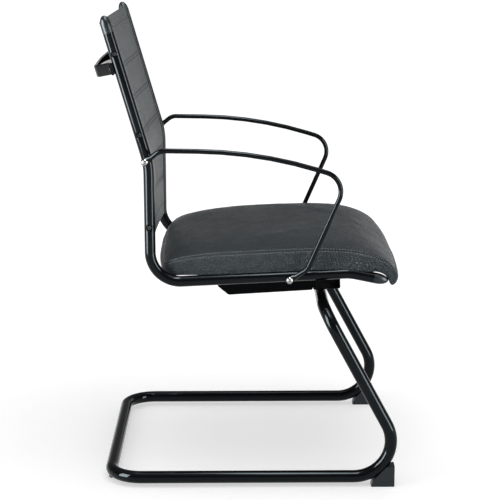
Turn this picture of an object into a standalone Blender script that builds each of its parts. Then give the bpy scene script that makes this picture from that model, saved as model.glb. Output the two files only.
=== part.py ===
"""Guest chair on a bent sled base, with rod arms, a slung leather back and an upholstered seat.

Metres, +Z up. The chair faces +X, the floor is Z = 0, and the XZ plane is its plane of symmetry.
"""
import math

import bmesh
import bpy
from mathutils import Matrix, Vector

# Side frame: one bent tube on each side, post and seat rail in one
SIDE_SPACING = 0.470
TUBE_DIAMETER = 0.022
TUBE_WALL = 0.0018
POST_X = -0.192
KINK_HEIGHT = 0.659
POST_LEAN = math.radians(16.04)
POST_TUBE_TOP = 0.915
RAIL_HEIGHT = 0.4272
SEAT_TILT = math.radians(2.69)
RAIL_NOSE_X = 0.208
RAIL_NOSE_DROP = math.radians(11.7)
RAIL_END_X = 0.255
KINK_RADIUS = 0.160
POST_BEND_RADIUS = 0.060
NOSE_RADIUS = 0.090

# Base: one closed loop of tube, floor runners, legs and the cross tube under the seat
RUNNER_OUTSET = 0.0336
BASE_TUBE_DIAMETER = 0.0254
RUNNER_CLEARANCE = 0.006
REAR_CROSS_X = -0.280
FRONT_CORNER_X = 0.3428
LEG_LEAN = math.radians(28.24)
REAR_CORNER_RADIUS = 0.065
FRONT_CORNER_RADIUS = 0.075
TOP_CORNER_RADIUS = 0.057

# Clearances, sections and facets
CONTACT_GAP = 0.0003
OVERRUN = 0.004
MERGE_DISTANCE = 0.00001
ARC_STEP = math.radians(9.0)
ARM_ARC_STEP = math.radians(11.0)
LONGEST_CHORD = 0.045
TUBE_BEVEL_RESOLUTION = 6
ROD_BEVEL_RESOLUTION = 4
TURNED_STEPS = 20
SMALL_STEPS = 16
SMOOTH_ANGLE = math.radians(38.0)
FLAT_ANGLE = math.radians(0.5)
EDGE_SEGMENTS = 2
FILLET_SEGMENTS = 3

# End fittings of the side tubes
STEM_LENGTH = 0.020
STEM_CHAMFER = 0.001
CAP_LENGTH = 0.0358
CAP_DOME_LENGTH = 0.0200
PLUG_STRAIGHT = 0.006
PLUG_LENGTH = 0.030
DOME_STEPS = 6

# Front foot wedges and rear glides
FOOT_WIDTH = 0.0262
FOOT_REAR_X = 0.2521
FOOT_FRONT_X = 0.3000
FOOT_HEIGHT = 0.0454
FOOT_SHOULDER_X = 0.2837
FOOT_SHOULDER_HEIGHT = 0.0425
FOOT_HEEL_X = 0.2552
FOOT_HEEL_HEIGHT = 0.0120
FOOT_EDGE_RADIUS = 0.0012
FOOT_STUD_X = 0.2740
GLIDE_DIAMETER = 0.0120
GLIDE_INSET = 0.0516
STUD_DIAMETER = 0.0050
STUD_LENGTH = 0.0080

# Steel under the seat, placed along the tilted rail line
CHANNEL_WIDTH = 0.057
CHANNEL_REAR_X = 0.1355
CHANNEL_WALL = 0.0025
PAN_INSET = 0.085
PAN_DEPTH = 0.0531
TRAY_LENGTH = 0.1856
TRAY_BEVEL_LENGTH = 0.0213
TRAY_REAR_DROP = 0.0018
TRAY_BEVEL_HEIGHT = 0.0180
TRAY_WALL = 0.0020
TRAY_FILLET = 0.0040
BAR_WIDTH = 0.030
BAR_HEIGHT = 0.020
BAR_EDGE_RADIUS = 0.0020
REAR_BAR_X = -0.035

# Seat board, spacers and bolts
SEAT_LIFT = 0.0160
BOARD_THICKNESS = 0.012
BOARD_REAR_X = -0.150
BOARD_FRONT_X = 0.205
BOARD_INSET = 0.0050
BOARD_CORNER_RADIUS = 0.035
BOARD_ARC_STEP = math.radians(18.0)
SEAT_BOLT_INSET = 0.049
SEAT_BOLT_DIAMETER = 0.006
SEAT_BOLT_HEAD_DIAMETER = 0.013
SEAT_BOLT_HEAD_HEIGHT = 0.004
SEAT_BOLT_BITE = 0.008
SPACER_DIAMETER = 0.024

# Seat cushion: rows from back to front, with top and bottom heights over the rail line
CUSHION_OVERHANG = 0.0105
CUSHION_REAR_X = -0.1815
CUSHION_FRONT_X = 0.3155
CUSHION_CROWN = 0.0745
CUSHION_SEAM = 0.0555
CUSHION_TIP_DROP = 0.0420
CUSHION_SIDE_SWELL = 0.0035
CUSHION_END_SWELL = 0.0025
CUSHION_RECESS_GAP = 0.0005
ROW_X_SHARES = (0.014, 0.042, 0.103, 0.224, 0.405, 0.576, 0.717, 0.832, 0.908, 0.952, 0.984)
ROW_CREST_SHARES = (0.530, 0.670, 0.830, 0.968, 1.000, 0.993, 0.940, 0.805, 0.580, 0.330, 0.050)
ROW_SEAM_SHARES = (0.610, 0.740, 0.880, 0.980, 1.000, 1.000, 0.950, 0.830, 0.560, 0.300, 0.030)
ROW_WIDTH_SHARES = (0.890, 0.960, 1.000, 1.000, 1.000, 1.000, 1.000, 1.000, 0.997, 0.992, 0.985)
ROW_EDGE_POWERS = (3, 3, 3, 4, 5, 5, 5, 5, 5, 6, 8)
FLOOR_X_SHARES = (0.032, 0.058, 0.120, 0.250, 0.418, 0.575, 0.710, 0.810, 0.890, 0.935, 0.958)
FLOOR_LIFT_SHARES = (1.000, 1.000, 1.000, 1.000, 1.000, 1.000, 1.000, 0.900, 0.420, 0.020, 0.000)
FLOOR_DROP_SHARES = (0.000, 0.000, 0.000, 0.000, 0.000, 0.000, 0.000, 0.000, 0.000, 0.120, 0.960)
COLUMN_SHARES = (-1.0, -0.930, -0.750, -0.400, 0.0, 0.400, 0.750, 0.930, 1.0)
REAR_CORNER_PULL = 0.024
REAR_CORNER_POWER = 4
FRONT_CORNER_PULL = 0.0075
FRONT_CORNER_POWER = 4

# Slung back: leather over a flat bar on the inner side of each post
PANEL_TOP = 0.9400
PANEL_BOTTOM = 0.4715
PANEL_THICKNESS = 0.0048
PANEL_FRONT_OFFSET = 0.0060
PANEL_SAG_TOP = 0.0330
PANEL_SAG_BOTTOM = 0.0097
PANEL_DIP_TOP = 0.0075
PANEL_DIP_BOTTOM = 0.0036
HEM_DEPTH = 0.0060
HEM_HALF_WIDTH = 0.0088
HEM_SKIN = 0.0014
STILE_THICKNESS = 0.0032
STILE_END_INSET = 0.0060
SEAM_SPACING = 0.0695
FIRST_SEAM_HEIGHT = 0.8391
SEAM_COUNT = 5
SEAM_HALF_WIDTH = 0.0060
SEAM_DEPTH = 0.0011
TOP_HEM_HEIGHT = 0.0226
BOTTOM_HEM_HEIGHT = 0.0290
PANEL_COLUMN_SHARES = (-1.0, -0.82, -0.55, -0.28, 0.0, 0.28, 0.55, 0.82, 1.0)

# Back screws through post and stile
BACK_SCREW_HEIGHTS = {"upper": 0.8759, "middle": 0.7171, "lower": 0.5321}
BACK_SCREW_DIAMETER = 0.0042
BACK_SCREW_HEAD_DIAMETER = 0.0074
BACK_SCREW_HEAD_HEIGHT = 0.0024
DIMPLE_DIAMETER = 0.0150
DIMPLE_DEPTH = 0.0030

# Bowed brace behind the back
BRACE_HEIGHT = 0.8505
BRACE_WIDTH = 0.0245
BRACE_THICKNESS = 0.0060
BRACE_STAND_OFF = 0.0505
BRACE_BOW = 0.0060
BRACE_SHOULDER_INSET = 0.053
BRACE_TAB_INSET = 0.014
BRACE_TAB_OVERHANG = 0.008
BRACE_TAB_RADIUS = 0.016
BRACE_SHOULDER_RADIUS = 0.028
BRACE_BOW_RADIUS = 1.500
BRACE_EDGE_STEPS = 3
BRACE_SCREW_DIAMETER = 0.004
BRACE_SCREW_HEAD_DIAMETER = 0.0085
BRACE_SCREW_HEAD_HEIGHT = 0.0022
BRACE_SCREW_BITE = 0.006

# Rod arms
ARM_ROD_DIAMETER = 0.010
ARM_ROD_OUTSET = 0.0275
ARM_EYE_OUTSET = 0.0150
ARM_EYE_DIAMETER = 0.0156
ARM_EYE_THICKNESS = 0.005
ARM_NECK_LENGTH = 0.0150
ARM_NECK_HALF_HEIGHT = 0.0041
ARM_ROD_START = 0.0087
ARM_REAR_EYE_HEIGHT = 0.6652
ARM_REAR_EYE_SETBACK = 0.0052
ARM_FRONT_EYE_X = 0.0862
ARM_FRONT_EYE_DROP = 0.0050
ARM_REAR_SHOULDER_X = -0.1675
ARM_TOP_HEIGHT = 0.6895
ARM_CREST_X = 0.0255
ARM_CREST_HEIGHT = 0.6862
ARM_NOSE_X = 0.2006
ARM_NOSE_HEIGHT = 0.6319
ARM_HEEL_X = 0.1210
ARM_HEEL_HEIGHT = 0.4505
ARM_SHOULDER_RADIUS = 0.026
ARM_CREST_RADIUS = 0.850
ARM_NOSE_RADIUS = 0.040
ARM_HEEL_RADIUS = 0.022
ARM_BOLT_DIAMETER = 0.006
ARM_BOLT_HEAD_DIAMETER = 0.0138
ARM_BOLT_HEAD_HEIGHT = 0.0050
ARM_BOLT_SOCKET = 0.0050
ARM_BOLT_SOCKET_DEPTH = 0.0026
ARM_BOLT_REACH = 0.015
ARM_WASHER_THICKNESS = 0.0009
ARM_WASHER_DIAMETER = 0.0140

# Sizes that follow from the ones above
SIDE_Y = SIDE_SPACING / 2
TUBE_RADIUS = TUBE_DIAMETER / 2
BASE_RADIUS = BASE_TUBE_DIAMETER / 2
RUNNER_Y = SIDE_Y + RUNNER_OUTSET
GLIDE_Y = RUNNER_Y - GLIDE_INSET
PAN_HALF_SPAN = SIDE_Y - PAN_INSET
BOARD_HALF_WIDTH = SIDE_Y - BOARD_INSET
SEAT_BOLT_Y = SIDE_Y - SEAT_BOLT_INSET
CUSHION_HALF_WIDTH = SIDE_Y + CUSHION_OVERHANG
BRACE_SHOULDER_Y = SIDE_Y - BRACE_SHOULDER_INSET
ARM_ROD_Y = SIDE_Y + ARM_ROD_OUTSET
ARM_EYE_Y = SIDE_Y + ARM_EYE_OUTSET
RUNNER_HEIGHT = RUNNER_CLEARANCE + BASE_RADIUS
PAN_FLOOR = -PAN_DEPTH
CROSS_TUBE_DROP = (PAN_DEPTH + CONTACT_GAP + BASE_RADIUS) / math.cos(SEAT_TILT)
LEG_FOOT_X = FRONT_CORNER_X + RUNNER_HEIGHT * math.tan(LEG_LEAN)
CROSS_TUBE_HEIGHT = ((RAIL_HEIGHT + LEG_FOOT_X * math.tan(SEAT_TILT) - CROSS_TUBE_DROP)
                     / (1.0 + math.tan(SEAT_TILT) * math.tan(LEG_LEAN)))
CROSS_TUBE_X = LEG_FOOT_X - CROSS_TUBE_HEIGHT * math.tan(LEG_LEAN)
LEAN_AXIS = Vector((-math.sin(POST_LEAN), 0.0, math.cos(POST_LEAN)))
LEAN_FORWARD = Vector((math.cos(POST_LEAN), 0.0, math.sin(POST_LEAN)))
STEM_RADIUS = TUBE_RADIUS - TUBE_WALL - CONTACT_GAP
STILE_Y = SIDE_Y - TUBE_RADIUS - CONTACT_GAP
HEM_FLANGE = HEM_HALF_WIDTH - HEM_SKIN
STILE_LOW = PANEL_BOTTOM + STILE_END_INSET
STILE_HIGH = PANEL_TOP - STILE_END_INSET
STILE_HALF_WIDTH = HEM_FLANGE - CONTACT_GAP


def clear_scene():
    for old in list(bpy.data.objects):
        bpy.data.objects.remove(old, do_unlink=True)


def new_collection(name):
    collection = bpy.data.collections.new(name)
    bpy.context.scene.collection.children.link(collection)
    return collection


clear_scene()
PARTS = new_collection("guest_chair")
CUTTERS = new_collection("guest_chair_cutters")


def principled(name, color, roughness, metallic):
    material = bpy.data.materials.new(name)
    material.use_nodes = True
    shader = material.node_tree.nodes["Principled BSDF"]
    shader.inputs["Base Color"].default_value = (*color, 1.0)
    shader.inputs["Roughness"].default_value = roughness
    shader.inputs["Metallic"].default_value = metallic
    return material


def gloss_paint(name):
    return principled(name, (0.012, 0.013, 0.014), 0.16, 0.0)


def satin_steel(name):
    return principled(name, (0.020, 0.020, 0.021), 0.45, 0.3)


def black_plastic(name):
    return principled(name, (0.018, 0.019, 0.020), 0.35, 0.0)


def chrome(name):
    return principled(name, (0.78, 0.78, 0.80), 0.12, 1.0)


def leather(name):
    return principled(name, (0.060, 0.063, 0.066), 0.48, 0.0)


def link(node, collection=None):
    (collection or PARTS).objects.link(node)
    return node


def finish(node, material):
    """Gives a part its own material and smooth shading on its round faces."""
    node.data.materials.clear()
    node.data.materials.append(material)
    node.data.shade_smooth()
    node.data.set_sharp_from_angle(angle=SMOOTH_ANGLE)
    return node


def as_cutter(node):
    node.hide_render = True
    node.display_type = "WIRE"
    return node


def cut(node, tool, operation="DIFFERENCE"):
    modifier = node.modifiers.new(tool.name, "BOOLEAN")
    modifier.operation = operation
    modifier.solver = "EXACT"
    modifier.object = tool


def rounded_path(corners, radii, closed=False, step=ARC_STEP):
    """Straight runs with an arc at each corner; radii[i] belongs to corners[i]."""
    points = []
    count = len(corners)
    for i, corner in enumerate(corners):
        if not closed and i in (0, count - 1):
            points.append(corner.copy())
            continue
        back = (corners[i - 1] - corner).normalized()
        ahead = (corners[(i + 1) % count] - corner).normalized()
        turn = math.pi - back.angle(ahead)
        tangent = radii[i] * math.tan(turn / 2)
        centre = corner + (back + ahead).normalized() * (radii[i] / math.cos(turn / 2))
        start = corner + back * tangent - centre
        axis = start.cross(corner + ahead * tangent - centre).normalized()
        steps = max(2, math.ceil(turn / step), math.ceil(turn * radii[i] / LONGEST_CHORD))
        for k in range(steps + 1):
            points.append(centre + Matrix.Rotation(turn * k / steps, 3, axis) @ start)
    return points


def bent_tube(name, points, radius, resolution, closed=False, collection=None):
    """A curve with a round bevel along the points, turned into a mesh with welded caps."""
    curve = bpy.data.curves.new(name + "_path", "CURVE")
    curve.dimensions = "3D"
    curve.bevel_depth = radius
    curve.bevel_resolution = resolution
    curve.use_fill_caps = not closed
    spline = curve.splines.new("POLY")
    spline.points.add(len(points) - 1)
    for target, point in zip(spline.points, points):
        target.co = (*point, 1.0)
    spline.use_cyclic_u = closed
    return mesh_from_curve(name, curve, collection)


def extruded(name, outline, half_depth, parent=None, collection=None):
    """A flat closed outline, filled and extruded both ways along its own normal."""
    curve = bpy.data.curves.new(name + "_outline", "CURVE")
    curve.dimensions = "2D"
    curve.fill_mode = "BOTH"
    curve.extrude = half_depth
    spline = curve.splines.new("POLY")
    spline.points.add(len(outline) - 1)
    for target, (across, up) in zip(spline.points, outline):
        target.co = (across, up, 0.0, 1.0)
    spline.use_cyclic_u = True
    node = mesh_from_curve(name, curve, collection)
    shape = bmesh.new()
    shape.from_mesh(node.data)
    bmesh.ops.dissolve_limit(shape, angle_limit=FLAT_ANGLE, verts=shape.verts, edges=shape.edges)
    shape.to_mesh(node.data)
    shape.free()
    node.parent = parent
    return node


def stand(node, y):
    """Turns a flat extrusion upright, so that its outline lies in an XZ plane at a given Y."""
    node.rotation_euler = (math.pi / 2, 0.0, 0.0)
    node.location = (0.0, y, 0.0)
    return node


def mesh_from_curve(name, curve, collection):
    """The curve's evaluated shape as a mesh node with welded caps."""
    guide = bpy.data.objects.new(name + "_guide", curve)
    bpy.context.scene.collection.objects.link(guide)
    graph = bpy.context.evaluated_depsgraph_get()
    mesh = bpy.data.meshes.new_from_object(guide.evaluated_get(graph))
    node = bpy.data.objects.new(name, mesh)
    node.matrix_world = guide.matrix_world
    bpy.data.objects.remove(guide, do_unlink=True)
    weld(mesh)
    return link(node, collection)


def weld(mesh):
    shape = bmesh.new()
    shape.from_mesh(mesh)
    bmesh.ops.remove_doubles(shape, verts=shape.verts, dist=MERGE_DISTANCE)
    bmesh.ops.recalc_face_normals(shape, faces=shape.faces)
    shape.to_mesh(mesh)
    shape.free()


def loft(name, sections, collection=None):
    """Quads between closed rings of points, with a cap on the first and the last ring."""
    shape = bmesh.new()
    rings = [[shape.verts.new(point) for point in section] for section in sections]
    size = len(rings[0])
    for low, high in zip(rings, rings[1:]):
        for k in range(size):
            shape.faces.new((low[k], low[(k + 1) % size], high[(k + 1) % size], high[k]))
    shape.faces.new(list(reversed(rings[0])))
    shape.faces.new(rings[-1])
    bmesh.ops.recalc_face_normals(shape, faces=shape.faces)
    mesh = bpy.data.meshes.new(name)
    shape.to_mesh(mesh)
    shape.free()
    return link(bpy.data.objects.new(name, mesh), collection)


def turned(name, profile, steps, collection=None):
    """A profile of (radius, height) pairs from top to bottom, turned about local Z."""
    mesh = bpy.data.meshes.new(name)
    points = [(radius, 0.0, height) for radius, height in profile]
    mesh.from_pydata(points, [(k, k + 1) for k in range(len(points) - 1)], [])
    node = link(bpy.data.objects.new(name, mesh), collection)
    screw = node.modifiers.new("turn", "SCREW")
    screw.axis = "Z"
    screw.steps = steps
    screw.render_steps = steps
    screw.use_merge_vertices = True
    screw.merge_threshold = MERGE_DISTANCE
    screw.use_smooth_shade = True
    return node


def aim(node, place, direction):
    """Puts a node's origin at a place with its local Z along a direction."""
    node.rotation_mode = "QUATERNION"
    node.rotation_quaternion = Vector((0.0, 0.0, 1.0)).rotation_difference(direction)
    node.location = place
    return node


def rod_profile(radius, low, high):
    return [(0.0, high), (radius, high), (radius, low), (0.0, low)]


def round_cutter(name, radius, start, direction, reach, parent=None):
    """A cylinder that starts an overrun before a place and reaches a distance past it."""
    node = turned(name, rod_profile(radius, -OVERRUN, reach), SMALL_STEPS, CUTTERS)
    aim(node, start, direction)
    node.parent = parent
    return as_cutter(node)


def side_name(stem, side):
    return stem + ("_left" if side > 0 else "_right")


def make_seat_frame():
    """An empty on the rail line: local X runs along the rails and local Z is square to them."""
    frame = bpy.data.objects.new("seat_frame", None)
    PARTS.objects.link(frame)
    frame.location = (0.0, 0.0, RAIL_HEIGHT)
    frame.rotation_euler = (0.0, -SEAT_TILT, 0.0)
    bpy.context.view_layer.update()
    return frame


def rail_height(x):
    return RAIL_HEIGHT + x * math.tan(SEAT_TILT)


def post_axis(height):
    """The centre of the post at a height, kinked where it starts to lean back."""
    lean = max(0.0, height - KINK_HEIGHT) * math.tan(POST_LEAN)
    return Vector((POST_X - lean, 0.0, height))


def side_corners():
    drop = (RAIL_END_X - RAIL_NOSE_X) * math.tan(RAIL_NOSE_DROP)
    return [post_axis(POST_TUBE_TOP),
            post_axis(KINK_HEIGHT),
            Vector((POST_X, 0.0, rail_height(POST_X))),
            Vector((RAIL_NOSE_X, 0.0, rail_height(RAIL_NOSE_X))),
            Vector((RAIL_END_X, 0.0, rail_height(RAIL_NOSE_X) - drop))]


def side_path():
    radii = (0.0, KINK_RADIUS, POST_BEND_RADIUS, NOSE_RADIUS, 0.0)
    return rounded_path(side_corners(), radii, step=ARC_STEP)


def path_frames(points):
    """Unit tangents of a path in the XZ plane at each of its points."""
    tangents = []
    for i in range(len(points)):
        before = points[max(0, i - 1)]
        after = points[min(len(points) - 1, i + 1)]
        tangents.append((after - before).normalized())
    return tangents


def rear_bolt_place(side):
    axis = post_axis(ARM_REAR_EYE_HEIGHT)
    return Vector((axis.x - ARM_REAR_EYE_SETBACK, side * SIDE_Y, axis.z))


def front_bolt_place(side):
    height = rail_height(ARM_FRONT_EYE_X) - ARM_FRONT_EYE_DROP
    return Vector((ARM_FRONT_EYE_X, side * SIDE_Y, height))


def brace_plane_point(depth, y):
    """A point of the brace's plane, a depth behind the post's axis."""
    return post_axis(BRACE_HEIGHT) - LEAN_FORWARD * depth + Vector((0.0, y, 0.0))


def make_side_frame(side):
    """Post and rail in one tube, bored for its fittings, screws and bolts."""
    name = side_name("side_frame", side)
    shift = Vector((0.0, side * SIDE_Y, 0.0))
    points = [point + shift for point in side_path()]
    node = bent_tube(name, points, TUBE_RADIUS, TUBE_BEVEL_RESOLUTION)
    bore = STEM_RADIUS + CONTACT_GAP
    depth = STEM_LENGTH + CONTACT_GAP
    outward = Vector((0.0, side, 0.0))
    top_bore = round_cutter(name + "_cap_bore", bore, points[0], -LEAN_AXIS, depth)
    nose = (points[-2] - points[-1]).normalized()
    front_bore = round_cutter(name + "_plug_bore", bore, points[-1], nose, depth)
    tools = [top_bore, front_bore]
    for k, height in BACK_SCREW_HEIGHTS.items():
        place = post_axis(height) + shift + outward * TUBE_RADIUS
        hole = BACK_SCREW_DIAMETER / 2 + CONTACT_GAP
        tools.append(round_cutter(f"{name}_screw_hole_{k}", hole, place, -outward,
                                  TUBE_DIAMETER + OVERRUN))
        tools.append(dimple_cutter(f"{name}_dimple_{k}", place, -outward))
    hole = ARM_BOLT_DIAMETER / 2 + CONTACT_GAP
    for label, place in (("rear", rear_bolt_place(side)), ("front", front_bolt_place(side))):
        start = place + outward * TUBE_RADIUS
        tools.append(round_cutter(f"{name}_{label}_arm_hole", hole, start, -outward,
                                  ARM_BOLT_REACH + CONTACT_GAP))
    hole = BRACE_SCREW_DIAMETER / 2 + CONTACT_GAP
    start = brace_plane_point(TUBE_RADIUS, side * SIDE_Y)
    tools.append(round_cutter(f"{name}_brace_hole", hole, start, LEAN_FORWARD,
                              BRACE_SCREW_BITE + CONTACT_GAP))
    for tool in tools:
        cut(node, tool)
    return finish(node, gloss_paint(name + "_paint"))


def dimple_cutter(name, place, direction):
    """The pressed dish that a back screw's head sits in."""
    head = BACK_SCREW_HEAD_DIAMETER / 2 + CONTACT_GAP
    wide = DIMPLE_DIAMETER / 2
    profile = [(0.0, DIMPLE_DEPTH), (head, DIMPLE_DEPTH), (wide, 0.0),
               (wide, -OVERRUN), (0.0, -OVERRUN)]
    return as_cutter(aim(turned(name, profile, SMALL_STEPS, CUTTERS), place, direction))


def dome(radius, length, base):
    """A quarter ellipse from the top of the axis down to its full radius."""
    points = []
    for k in range(DOME_STEPS + 1):
        angle = math.pi / 2 * k / DOME_STEPS
        points.append((radius * math.sin(angle), base + length * math.cos(angle)))
    return points


def fitting_profile(straight, domed):
    stem_low = -STEM_LENGTH
    return (dome(TUBE_RADIUS, domed, straight)
            + [(TUBE_RADIUS, CONTACT_GAP), (STEM_RADIUS, CONTACT_GAP),
               (STEM_RADIUS, stem_low + STEM_CHAMFER),
               (STEM_RADIUS - STEM_CHAMFER, stem_low), (0.0, stem_low)])


def make_post_cap(side):
    name = side_name("post_cap", side)
    node = turned(name, fitting_profile(CAP_LENGTH - CAP_DOME_LENGTH, CAP_DOME_LENGTH), TURNED_STEPS)
    aim(node, post_axis(POST_TUBE_TOP) + Vector((0.0, side * SIDE_Y, 0.0)), LEAN_AXIS)
    return finish(node, black_plastic(name + "_plastic"))


def make_rail_plug(side):
    name = side_name("rail_plug", side)
    node = turned(name, fitting_profile(PLUG_STRAIGHT, PLUG_LENGTH - PLUG_STRAIGHT), TURNED_STEPS)
    corners = side_corners()
    ahead = (corners[-1] - corners[-2]).normalized()
    aim(node, corners[-1] + Vector((0.0, side * SIDE_Y, 0.0)), ahead)
    return finish(node, black_plastic(name + "_plastic"))


def base_corners():
    front = Vector((FRONT_CORNER_X, RUNNER_Y, RUNNER_HEIGHT))
    rear = Vector((REAR_CROSS_X, RUNNER_Y, RUNNER_HEIGHT))
    top = Vector((CROSS_TUBE_X, RUNNER_Y, CROSS_TUBE_HEIGHT))
    mirror = Vector((1.0, -1.0, 1.0))
    return [rear, front, top, top * mirror, front * mirror, rear * mirror]


def base_path():
    half = [REAR_CORNER_RADIUS, FRONT_CORNER_RADIUS, TOP_CORNER_RADIUS]
    return rounded_path(base_corners(), half + half[::-1], closed=True)


def make_base_frame():
    """One closed loop: rear cross, runners, legs and the cross tube that carries the seat."""
    node = bent_tube("base_frame", base_path(), BASE_RADIUS, TUBE_BEVEL_RESOLUTION, closed=True)
    up = Vector((0.0, 0.0, 1.0))
    hole = STUD_DIAMETER / 2 + CONTACT_GAP
    for side in (-1, 1):
        glide = Vector((REAR_CROSS_X, side * GLIDE_Y, RUNNER_CLEARANCE))
        foot = Vector((FOOT_STUD_X, side * RUNNER_Y, tube_underside(FOOT_STUD_X)))
        for label, place in (("glide", glide), ("foot", foot)):
            tool = round_cutter(side_name(f"base_{label}_hole", side), hole, place, up,
                                STUD_LENGTH + CONTACT_GAP)
            cut(node, tool)
    return finish(node, gloss_paint("base_frame_paint"))


def front_bend_centre():
    reach = FRONT_CORNER_RADIUS * math.tan((math.pi / 2 + LEG_LEAN) / 2)
    return Vector((FRONT_CORNER_X - reach, 0.0, RUNNER_HEIGHT + FRONT_CORNER_RADIUS))


def tube_underside(x):
    """The height of the front bend's outer surface at a place along it."""
    centre = front_bend_centre()
    outer = FRONT_CORNER_RADIUS + BASE_RADIUS
    return centre.z - math.sqrt(outer ** 2 - (x - centre.x) ** 2)


def make_front_foot(side, base_tool):
    """A wedge under the front bend, saddled to the tube, with a stud up into it."""
    name = side_name("front_foot", side)
    outline = [(FOOT_REAR_X, 0.0), (FOOT_FRONT_X, 0.0), (FOOT_FRONT_X, FOOT_HEIGHT),
               (FOOT_SHOULDER_X, FOOT_SHOULDER_HEIGHT), (FOOT_HEEL_X, FOOT_HEEL_HEIGHT)]
    node = stand(extruded(name, outline, FOOT_WIDTH / 2), side * RUNNER_Y)
    round_edges(node, FOOT_EDGE_RADIUS, EDGE_SEGMENTS)
    cut(node, base_tool)
    top = tube_underside(FOOT_STUD_X) + STUD_LENGTH
    stud_profile = rod_profile(STUD_DIAMETER / 2, FOOT_HEEL_HEIGHT / 2, top)
    stud = turned(name + "_stud", stud_profile, SMALL_STEPS, CUTTERS)
    stud.location = (FOOT_STUD_X, side * RUNNER_Y, 0.0)
    cut(node, as_cutter(stud), "UNION")
    return finish(node, black_plastic(name + "_plastic"))


def make_rear_glide(side, base_tool):
    """A small round glide under the rear cross tube, with a stud up into it."""
    name = side_name("rear_glide", side)
    radius = GLIDE_DIAMETER / 2
    node = turned(name, rod_profile(radius, 0.0, RUNNER_CLEARANCE + BASE_RADIUS / 2), SMALL_STEPS)
    node.location = (REAR_CROSS_X, side * GLIDE_Y, 0.0)
    cut(node, base_tool)
    top = RUNNER_CLEARANCE + STUD_LENGTH
    stud_profile = rod_profile(STUD_DIAMETER / 2, RUNNER_CLEARANCE / 2, top)
    stud = turned(name + "_stud", stud_profile, SMALL_STEPS, CUTTERS)
    stud.location = node.location
    cut(node, as_cutter(stud), "UNION")
    return finish(node, black_plastic(name + "_plastic"))


def make_base_tool():
    """The base tube's outer shape with the contact gap, for the saddles of feet and glides."""
    tool = bent_tube("base_saddle", base_path(), BASE_RADIUS + CONTACT_GAP, TUBE_BEVEL_RESOLUTION,
                     closed=True, collection=CUTTERS)
    return as_cutter(tool)


def box(name, low, high, parent, collection=None):
    """A cube primitive stretched between two corners in the parent's frame."""
    shape = bmesh.new()
    bmesh.ops.create_cube(shape, size=1.0)
    size = Vector(high) - Vector(low)
    centre = (Vector(high) + Vector(low)) / 2
    bmesh.ops.scale(shape, vec=size, verts=shape.verts)
    bmesh.ops.translate(shape, vec=centre, verts=shape.verts)
    mesh = bpy.data.meshes.new(name)
    shape.to_mesh(mesh)
    shape.free()
    node = link(bpy.data.objects.new(name, mesh), collection)
    node.parent = parent
    return node


def round_edges(node, width, segments):
    bevel = node.modifiers.new("edges", "BEVEL")
    bevel.width = width
    bevel.segments = segments
    bevel.limit_method = "ANGLE"


def bar_bottom():
    return -BAR_HEIGHT / 2


def make_cross_channel(frame):
    """The box section on the cross tube, open at both ends."""
    low = PAN_FLOOR
    high = bar_bottom() - CONTACT_GAP
    front = CHANNEL_REAR_X + CHANNEL_WIDTH
    node = box("cross_channel", (CHANNEL_REAR_X, -PAN_HALF_SPAN, low), (front, PAN_HALF_SPAN, high),
               frame)
    round_edges(node, TRAY_FILLET, FILLET_SEGMENTS)
    wall = CHANNEL_WALL
    end = PAN_HALF_SPAN + OVERRUN
    hollow = box("channel_hollow", (CHANNEL_REAR_X + wall, -end, low + wall),
                 (front - wall, end, high - wall), frame, CUTTERS)
    cut(node, as_cutter(hollow))
    return finish(node, satin_steel("cross_channel_paint"))


def tray_outline(inset, floor_over, top):
    """Side outline of the tray, bevelled at the rear, inset by a wall."""
    front = CHANNEL_REAR_X - CONTACT_GAP - inset
    rear = CHANNEL_REAR_X - CONTACT_GAP - TRAY_LENGTH - TRAY_BEVEL_LENGTH / 2 + inset
    low = PAN_FLOOR - floor_over
    knee = rear + TRAY_BEVEL_LENGTH
    step = PAN_FLOOR + TRAY_BEVEL_HEIGHT
    return [(knee, low - TRAY_REAR_DROP), (front, low), (front, top), (rear, top), (rear, step)]


def make_mount_tray(frame):
    """The pressed pan behind the channel, its top plate under the cross bar, open below."""
    top = bar_bottom() - CONTACT_GAP
    node = stand(extruded("mount_tray", tray_outline(0.0, 0.0, top), PAN_HALF_SPAN, frame), 0.0)
    round_edges(node, TRAY_FILLET, FILLET_SEGMENTS)
    hollow_outline = tray_outline(TRAY_WALL, OVERRUN, top - TRAY_WALL)
    hollow = extruded("tray_hollow", hollow_outline, PAN_HALF_SPAN - TRAY_WALL, frame, CUTTERS)
    cut(node, as_cutter(stand(hollow, 0.0)))
    return finish(node, satin_steel("mount_tray_paint"))


def bar_stations():
    return (("front", CHANNEL_REAR_X + CHANNEL_WIDTH / 2), ("rear", REAR_BAR_X))


def make_cross_bar(frame, label, x):
    """A bar between the rails that carries the seat board on two spacers."""
    half = SIDE_Y - TUBE_RADIUS - CONTACT_GAP
    name = f"seat_cross_bar_{label}"
    node = box(name, (x - BAR_WIDTH / 2, -half, bar_bottom()),
               (x + BAR_WIDTH / 2, half, -bar_bottom()), frame)
    round_edges(node, BAR_EDGE_RADIUS, EDGE_SEGMENTS)
    up = Vector((0.0, 0.0, 1.0))
    for side in (-1, 1):
        hole = SEAT_BOLT_DIAMETER / 2 + CONTACT_GAP
        start = Vector((x, side * SEAT_BOLT_Y, bar_bottom()))
        tool = round_cutter(side_name(f"{name}_hole", side), hole, start, up, BAR_HEIGHT + OVERRUN,
                            frame)
        cut(node, tool)
    return finish(node, satin_steel(name + "_paint"))


def seat_bolt_places():
    """Names and places, in the seat frame, of the four seat fixings."""
    return [(side_name(label, side), Vector((x, side * SEAT_BOLT_Y, 0.0)))
            for label, x in bar_stations() for side in (-1, 1)]


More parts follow.
